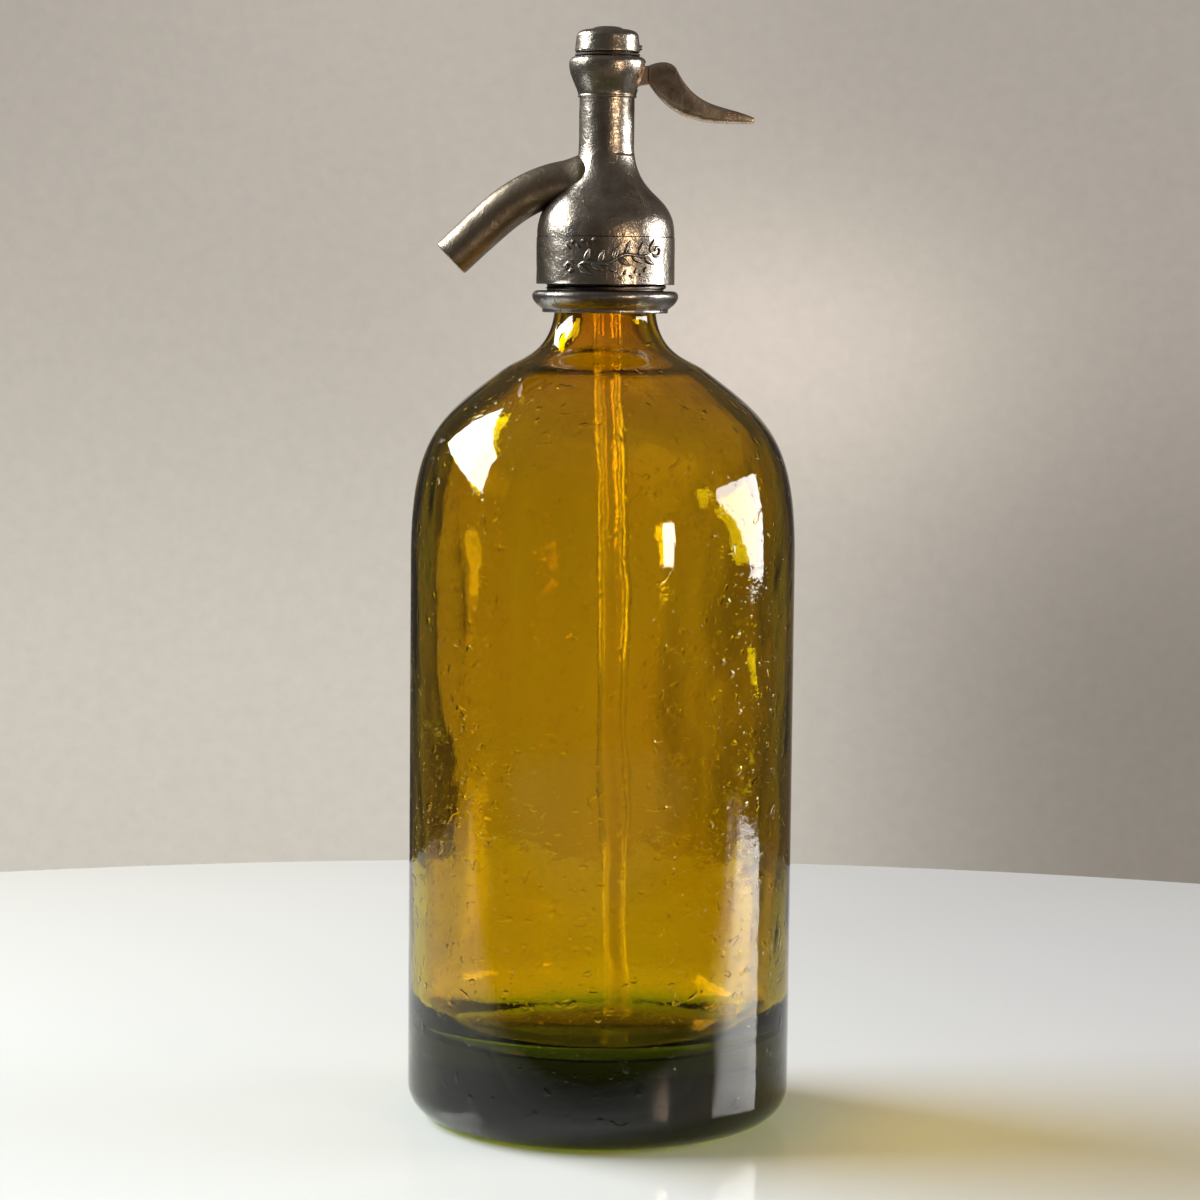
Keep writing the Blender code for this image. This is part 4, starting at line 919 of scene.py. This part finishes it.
def build_bell_relief(paint):
    """A plain cast vine round the bell's front, with two small sprigs."""
    patches = vine(*[(across, BELL_MOUTH + up) for across, up in VINE_ENDS], *VINE_FORM, RELIEF_LIFT)
    for across, up, slope in SPRIGS:
        for step in range(SPRIG_LEAVES):
            reach = step * SPRIG_SPACING
            spot = (across + reach * math.cos(slope), BELL_MOUTH + up + reach * math.sin(slope))
            turn_by = slope + (LEAF_SPREAD if step % 2 else -LEAF_SPREAD)
            patches.append(leaf(spot, turn_by, *SPRIG_LEAF, RELIEF_LIFT))

    def bell(height):
        share = np.clip((height - BELL_MOUTH) / BELL_STRAIGHT_HEIGHT, 0, 1)
        return BELL_RADIUS + (BELL_TOP_RADIUS - BELL_RADIUS) * share

    relief = wrap("bell_relief", patches, bell, RELIEF_FACING, EDGE_ROUND / 2)
    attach(relief, "root")
    # The vine takes the collar's darker metal, darker than the bell around it: painted shade that makes the
    # relief stand out.
    relief.data.materials.append(paint.material)


def build_spout(paint):
    """Bent tube, flared into the column, with a rounded lip and a real bore."""
    steps = 60
    line = spout_line(steps)
    radii = []
    for x, _ in line:
        share = max((-x - COLUMN_RADIUS) / (SPOUT_REACH - COLUMN_RADIUS), 0)
        flare = min(max(1 - (-x - COLUMN_RADIUS) / SPOUT_FLARE_LENGTH, 0), 1)
        radii.append(SPOUT_RADIUS + (SPOUT_TIP_RADIUS - SPOUT_RADIUS) * share + SPOUT_FLARE * flare ** 2)
    outer = pipe_grid(line, radii)
    mouth = np.array(line[-1])
    way = mouth - np.array(line[-2])
    way /= np.linalg.norm(way)
    lip = []
    for angle in np.linspace(0, math.pi / 2, 5)[1:]:
        centre = mouth - way * SPOUT_LIP * (1 - math.sin(angle))
        radius = radii[-1] - SPOUT_LIP * (1 - math.cos(angle))
        lip.append(pipe_grid([centre - way * EDGE_ROUND, centre, centre + way * EDGE_ROUND], [radius] * 3)[1])
    bore = pipe_grid(list(reversed(line)), [SPOUT_BORE_RADIUS] * (steps + 1))[:, ::-1]
    bore = np.roll(bore, SMALL_COLUMNS // 2 + 1, axis=1)
    last = pipe_grid(
        [mouth - way * (SPOUT_LIP + EDGE_ROUND), mouth - way * SPOUT_LIP, mouth], [radii[-1]] * 3)[1:2]
    grid = np.concatenate((outer[:-2], last, np.array(lip), bore))
    dents = SPOUT_DENT * ripples(grid, 0.010, 21)
    ways = grid[:steps] - np.array([(x, 0, z) for x, z in line[:steps]])[:, None]
    grid[:steps] += ways / np.linalg.norm(ways, axis=-1, keepdims=True) * dents[:steps, :, None]
    spout = skin("spout_pipe", grid, ring_rows=True)
    saddle = [(0, SPIGOT_TOP), (CUP_RIM_RADIUS, SPIGOT_TOP), *head_outline(-SOLDER_OVERLAP), (0, BELL_MOUTH)]
    carve(spout, (turned("saddle", saddle, HEAD_COLUMNS),))
    dress(spout, paint, "pewter", "spout")


def build_cap(paint, seal, steel):
    """Screw cap with its domed top and low boss, its leather washer and the lock screw's end."""
    height = CAP_TOP - CAP_BOTTOM
    bore = SPIGOT_RADIUS + EDGE_ROUND
    boss_edge = (CAP_BOSS_RADIUS, height - CAP_BOSS_DROP)
    boss = bezier(
        (0, height), (CAP_BOSS_RADIUS / 2, height),
        (CAP_BOSS_RADIUS * 0.9, height - EDGE_ROUND / 2), boss_edge, 12)
    dome = bezier(
        boss_edge, (CAP_BOSS_RADIUS * 1.4, height - CAP_BOSS_DROP * 1.1),
        (CAP_SHOULDER_RADIUS, height - CAP_BOSS_DROP * 1.4), (CAP_SHOULDER_RADIUS, CAP_SHOULDER_HEIGHT), 24)
    outline = boss + dome[1:] + rounded([
        dome[-1] + (0,), (CAP_RADIUS, EDGE_ROUND, EDGE_ROUND), (CAP_RADIUS - EDGE_ROUND / 2, 0, EDGE_ROUND / 2),
        (bore, 0, EDGE_ROUND / 2), (bore, CAP_BORE_DEPTH, EDGE_ROUND / 2), (0, CAP_BORE_DEPTH, 0)])[1:]
    grid = turn([(r, z + CAP_BOTTOM) for r, z in outline], HEAD_COLUMNS)
    dents = CAP_DENT * ripples(grid, 0.007, 31)
    outer = np.zeros(len(outline))
    outer[10:40] = 1
    push_out(grid, outer[:, None] * dents)
    dress(skin("screw_cap", grid), paint, "pewter", "top_cap")
    wide = high("cap_washer").x
    bottom, top = low("cap_washer").z, high("cap_washer").z
    washer = turned("leather_washer", rounded_ring([
        (bore, bottom, EDGE_ROUND / 3), (bore, top, EDGE_ROUND / 3),
        (wide, top, EDGE_ROUND / 2), (wide, bottom, EDGE_ROUND / 2)]), HEAD_COLUMNS)
    dress(washer, seal, "leather", "cap_washer")
    start = low("cap_lock_screw").x
    length = high("cap_lock_screw").x - start
    screw = turned("lock_screw_end", rounded([
        (0, length, 0), (LOCK_SCREW_RADIUS, length, EDGE_ROUND), (LOCK_SCREW_RADIUS, 0, 0), (0, 0, 0)]), 24)
    place = Matrix.Translation((start, 0, CAP_BOTTOM + LOCK_SCREW_RISE))
    moved(screw, place @ Matrix.Rotation(math.radians(90), 4, "Y"))
    dress(screw, steel, "steel", "cap_lock_screw")
    pin = bar("fulcrum_pin_rod", PIN_RADIUS, (PIVOT_REACH, 0, PIVOT_HEIGHT), CUP_RADIUS, 32)
    flush = [(0, SPIGOT_TOP)] + head_outline(-EDGE_ROUND / 8) + [(0, BELL_MOUTH)]
    carve(pin, (turned("flush", flush, HEAD_COLUMNS),), "INTERSECT")
    dress(pin, paint, "steel", "fulcrum_pin")


def build_spring(paint):
    """The coil spring under the cap, built at one length; the real spring shortens as the valve rises."""
    bottom, top = low("valve_spring").z, high("valve_spring").z
    steps, columns = 28 * COIL_TURNS, 12
    turn_angle = TAU * COIL_TURNS * np.linspace(0, 1, steps + 1)
    rise = np.linspace(bottom + WIRE_RADIUS, top - WIRE_RADIUS, steps + 1)
    angle = TAU * np.arange(columns) / columns
    reach = COIL_RADIUS + WIRE_RADIUS * np.cos(angle)
    grid = np.stack((
        np.cos(turn_angle)[:, None] * reach, np.sin(turn_angle)[:, None] * reach,
        rise[:, None] + WIRE_RADIUS * np.sin(angle)), -1)
    coil = skin("coil_spring", grid, caps="rows")
    dress(coil, paint, "steel", "valve_spring")
    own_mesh(coil)


def horn_edges(steps):
    """The lever's upper and lower edges in the XZ plane, as matching points from root to tip."""
    def ahead(point, pull, slope):
        """A point a pull away from another, on the slope downwards and outwards."""
        return point[0] + pull * math.cos(slope), point[1] - pull * math.sin(slope)

    pulls = HORN_CREST_PULLS
    root, heel = (HORN_ROOT_REACH, SHANK_TOP), (HORN_ROOT_REACH, -HORN_ROOT_DROP)
    crest = (HORN_CREST_REACH, HORN_CREST_RISE)
    tip = (HORN_TIP_REACH, -HORN_TIP_DROP)
    toe = (tip[0], tip[1] - HORN_TIP_THICKNESS)
    upper = bezier(
        root, ahead(root, pulls[0], -HORN_ROOT_RISE_ANGLE), ahead(crest, -pulls[1], HORN_CREST_SLOPE),
        crest, steps)
    upper += bezier(
        crest, ahead(crest, pulls[2], HORN_CREST_SLOPE), ahead(tip, -pulls[3], HORN_TIP_SLOPE), tip, steps)[1:]
    lower = bezier(
        heel, ahead(heel, HORN_BELLY_PULLS[0], HORN_BELLY_SLOPE), ahead(toe, -HORN_BELLY_PULLS[1], 0),
        toe, 2 * steps)
    return np.array(upper), np.array(lower)


def build_lever(paint):
    """The horn with its shank, boss and finger."""
    steps = 24
    upper, lower = horn_edges(steps)
    share = np.linspace(0, 1, len(upper))
    widths = np.array(bezier(*[(0, w) for w in HORN_HALF_WIDTHS], 2 * steps))[:, 1]
    columns = 48
    angle = TAU * (np.arange(columns) + 0.5) / columns
    across, along = [np.sign(side) * np.abs(side) ** HORN_SQUARENESS for side in (np.cos(angle), np.sin(angle))]
    middle = (upper + lower) / 2
    half = (upper - lower) / 2
    grid = np.zeros((len(share), columns, 3))
    grid[..., 0] = middle[:, :1] + half[:, :1] * along
    grid[..., 1] = widths[:, None] * across
    grid[..., 2] = middle[:, 1:] + half[:, 1:] * along
    horn = skin("thumb_lever", grid, caps="rows")
    boss = [
        (BOSS_RADIUS * math.cos(a), BOSS_RADIUS * math.sin(a))
        for a in np.linspace(math.radians(120), math.radians(290), 20)]
    shank = plate("shank", boss + [
        (HORN_ROOT_REACH, -HORN_ROOT_DROP), (HORN_ROOT_REACH + BOSS_RADIUS, -HORN_ROOT_DROP),
        (HORN_ROOT_REACH + BOSS_RADIUS, SHANK_TOP), (BOSS_RADIUS, SHANK_TOP - EDGE_ROUND)],
        -SHANK_WIDTH / 2, SHANK_WIDTH / 2)
    tip_angle = math.asin(FINGER_HALF_HEIGHT / FINGER_TIP_RADIUS)
    finger_outline = [
        (-PIVOT_REACH + FINGER_TIP_RADIUS * math.cos(a), FINGER_TIP_RADIUS * math.sin(a))
        for a in np.linspace(tip_angle, TAU - tip_angle, 24)]
    finger_outline += [(0, -FINGER_HALF_HEIGHT), (0, FINGER_HALF_HEIGHT)]
    finger = plate("finger", finger_outline, -FINGER_WIDTH / 2, FINGER_WIDTH / 2)
    carve(horn, (shank, finger), "UNION")
    carve(horn, (bar("hole", PIN_RADIUS * 1.3, (0, 0, 0), SHANK_WIDTH, 32),))
    moved(horn, Matrix.Translation((PIVOT_REACH, 0, PIVOT_HEIGHT)))
    dress(horn, paint, "lever_metal", "lever", body="lever")


def dress_solids(paints):
    """Gives the solids that stay their finish."""
    slots = {row["node"]: row["material_slot"] for row in frame["record"]["subparts"]}
    for name, obj in frame["nodes"].items():
        for place in obj.material_slots:
            place.material = paints[slots[name]].material


def build_stage():
    """A round white table, which isn't part of the object, with painted light and shade: paler on the left,
    darker to the right and far beyond the left, and darker where the object mirrors its near and right parts.
    """
    paint = Paint("table_white")
    x, y, _ = paint.add("SeparateXYZ", {"Vector": paint.place}).outputs
    # Painted light and shade: paler towards the left, where the key softbox stands, and darker towards the
    # right.
    away = paint.math("ADD", x, paint.times(y, 0.35))
    white = paint.blend(
        paint.between(away, -0.15, 0.30, kind="SMOOTHSTEP"), (0.88, 0.92, 0.94), (0.79, 0.815, 0.87))
    # Painted light: paler still towards the far left.
    white = paint.blend(paint.between(paint.math("SUBTRACT", y, x), 0.20, 0.60), white, (0.98, 1.0, 1.0))
    # Painted shade: much darker beyond the left edge of the view.
    white = paint.blend(paint.between(x, -0.26, -0.62), white, (0.36, 0.38, 0.39))
    glossy = paint.add("LightPath").outputs["Is Glossy Ray"]
    front = paint.between(y, -0.36, -0.50)
    # Painted shade for glossy rays only: in reflections the near table turns dark and rough and loses its
    # specular.
    reflected_shade = paint.times(paint.between(y, -0.07, -0.14), glossy)
    # Painted shade for glossy rays only: the table's right part looks darker in reflections.
    right = paint.times(paint.between(x, 0.10, 0.30), glossy)
    white = paint.blend(right, white, (0.32, 0.34, 0.37))
    # The near table's colour in reflections, darkest close to the object: painted shade.
    room = paint.blend(front, (0.07, 0.068, 0.035), (0.24, 0.21, 0.175))
    paint.set(
        Base_Color=paint.blend(reflected_shade, white, room), Roughness=paint.between(reflected_shade, 0, 1, 0.11, 0.7),
        Specular_IOR_Level=paint.between(reflected_shade, 0, 1, 0.5, 0.0), IOR=1.4)
    table = turned("table", rounded([
        (0, TABLE_TOP, 0), (TABLE_RADIUS, TABLE_TOP, TABLE_EDGE),
        (TABLE_RADIUS, TABLE_TOP - TABLE_THICKNESS, TABLE_EDGE), (0, TABLE_TOP - TABLE_THICKNESS, 0)]), 256)
    moved(table, Matrix.Translation((0, TABLE_CENTRE, 0)))
    table.data.materials.append(paint.material)


def build_world():
    """A warm pale wall behind, and the darker room that the metal and the lamps' side of it mirror."""
    world = bpy.data.worlds.new("room")
    bpy.context.scene.world = world
    world.use_nodes = True
    world.node_tree.nodes.clear()
    nodes = Nodes(world.node_tree)
    calc, product, mix = nodes.math, nodes.times, nodes.blend

    def between(value, start, end):
        return nodes.between(value, start, end, kind="SMOOTHSTEP")

    direction = nodes.add("TexCoord").outputs["Generated"]
    x, y, z = nodes.add("SeparateXYZ", {"Vector": direction}).outputs
    azimuth = product(calc("ARCTAN2", x, y), 180 / math.pi)
    level = product(calc("ARCSINE", z), 180 / math.pi)
    aside = calc("ABSOLUTE", azimuth)

    right = between(azimuth, 0.5, 10.0)
    below = between(level, 1.0, -7.0)
    shade = mix(right, (0.50, 0.455, 0.398), (0.40, 0.360, 0.312))
    shade = mix(product(below, calc("SUBTRACT", 1.0, right)), shade, (0.62, 0.572, 0.505))
    shade = mix(product(below, right), shade, (0.265, 0.235, 0.200))
    across = calc("DIVIDE", calc("SUBTRACT", azimuth, GLOW_AZIMUTH), GLOW_WIDTH)
    up = calc("DIVIDE", calc("SUBTRACT", level, GLOW_LEVEL), GLOW_HEIGHT)
    spread = calc("ADD", product(across, across), product(up, up))
    glow = product(calc("EXPONENT", product(spread, -1.0)), 0.85)
    shade = mix(glow, shade, (0.74, 0.655, 0.565))
    off_centre = between(calc("ABSOLUTE", calc("ADD", azimuth, 3.0)), 0.0, 9.0)
    top = product(between(level, -1.0, 5.0), off_centre)
    shade = mix(product(top, 0.75), shade, (0.40, 0.362, 0.315))
    grain = nodes.add("TexNoise", {
        "Vector": direction, "Scale": WALL_GRAIN_SCALE, "Detail": 3.0, "Roughness": 0.6}).outputs["Fac"]
    shade = mix(1.0, shade, calc("MULTIPLY_ADD", grain, WALL_GRAIN, 1 - WALL_GRAIN / 2), "MULTIPLY")

    front = mix(between(x, -0.6, 0.8), (0.078, 0.068, 0.058), (0.11, 0.085, 0.062))
    front = mix(between(z, 0.15, 0.9), front, (0.15, 0.135, 0.12))
    beside = calc("MAXIMUM", between(azimuth, -10.4, -14.0), between(azimuth, 10.0, 22.0))
    surround = mix(calc("MAXIMUM", beside, between(level, 7.0, 14.0)), shade, front)
    path = nodes.add("LightPath").outputs
    seen = calc("MAXIMUM", path["Is Camera Ray"], path["Is Transmission Ray"])
    surround = mix(product(seen, between(aside, 30.0, 45.0)), surround, (0.27, 0.242, 0.21))
    light = nodes.add("Background", {"Color": surround, "Strength": 1.0}).outputs[0]
    nodes.add("OutputWorld", {"Surface": light})


def lamp(name, place, way, size, radiance, colour):
    """A soft rectangular lamp of an even radiance that faces one way."""
    light = bpy.data.lights.new(name, "AREA")
    light.shape = "RECTANGLE"
    light.size, light.size_y = size
    light.color = colour
    light.energy = radiance * math.pi * size[0] * size[1]
    obj = link(bpy.data.objects.new(name, light))
    obj.location = place
    obj.rotation_euler = Vector(way).to_track_quat("-Z", "Y").to_euler()
    obj.visible_camera = False
    return light


def shape_window(light):
    """Cuts the window's lower front corner off, as a slanted blind would."""
    light.use_nodes = True
    nodes = Nodes(light.node_tree)
    place = nodes.add("NewGeometry").outputs["Parametric"]
    across, up, _ = nodes.add("SeparateXYZ", {"Vector": place}).outputs
    mask = nodes.between(nodes.math("MULTIPLY_ADD", up, WINDOW_SLANT, across), *WINDOW_EDGE)
    nodes.feed(nodes.tree.nodes["Emission"].inputs["Strength"], mask)


def build_lamps():
    """A window on the right, the key softbox on the left and behind, and a warm lamp in front on the right."""
    lights = {name: lamp(name, *settings) for name, settings in LAMPS.items()}
    shape_window(lights["window"])


def build_camera():
    camera = bpy.data.cameras.new("camera")
    camera.sensor_width = SENSOR_WIDTH
    camera.lens = FOCAL_PIXELS / IMAGE_WIDTH * SENSOR_WIDTH
    camera.clip_start = 0.05
    obj = link(bpy.data.objects.new("camera", camera))
    obj.matrix_world = (
        Matrix.Translation(CAMERA_PLACE) @ Matrix.Rotation(math.radians(90) - CAMERA_PITCH, 4, "X")
        @ Matrix.Rotation(CAMERA_ROLL, 4, "Z"))
    bpy.context.scene.camera = obj


def main():
    bpy.context.scene.view_settings.view_transform = "Standard"
    paints = {
        "amber_glass": amber_glass(),
        "tube_glass": tube_glass(),
        **{name: cast_metal(name, *mix) for name, mix in CAST_METALS.items()},
        "brass": machined_brass(),
        "steel": bare_steel(),
        "rubber": soft_seal("rubber", (0.035, 0.032, 0.03), (0.09, 0.085, 0.08), 0.0004),
        "leather": soft_seal("leather", (0.022, 0.014, 0.009), (0.05, 0.033, 0.022), 0.0006),
    }
    dress_solids(paints)
    build_bottle(paints["amber_glass"])
    build_dip_tube(paints["tube_glass"])
    build_collar(paints["collar_pewter"])
    build_head(paints["pewter"])
    build_bell_relief(paints["collar_pewter"])
    build_spout(paints["spout_pewter"])
    build_cap(paints["pewter"], paints["leather"], paints["steel"])
    build_spring(paints["steel"])
    build_lever(paints["lever_metal"])
    build_stage()
    build_world()
    build_lamps()
    build_camera()


main()
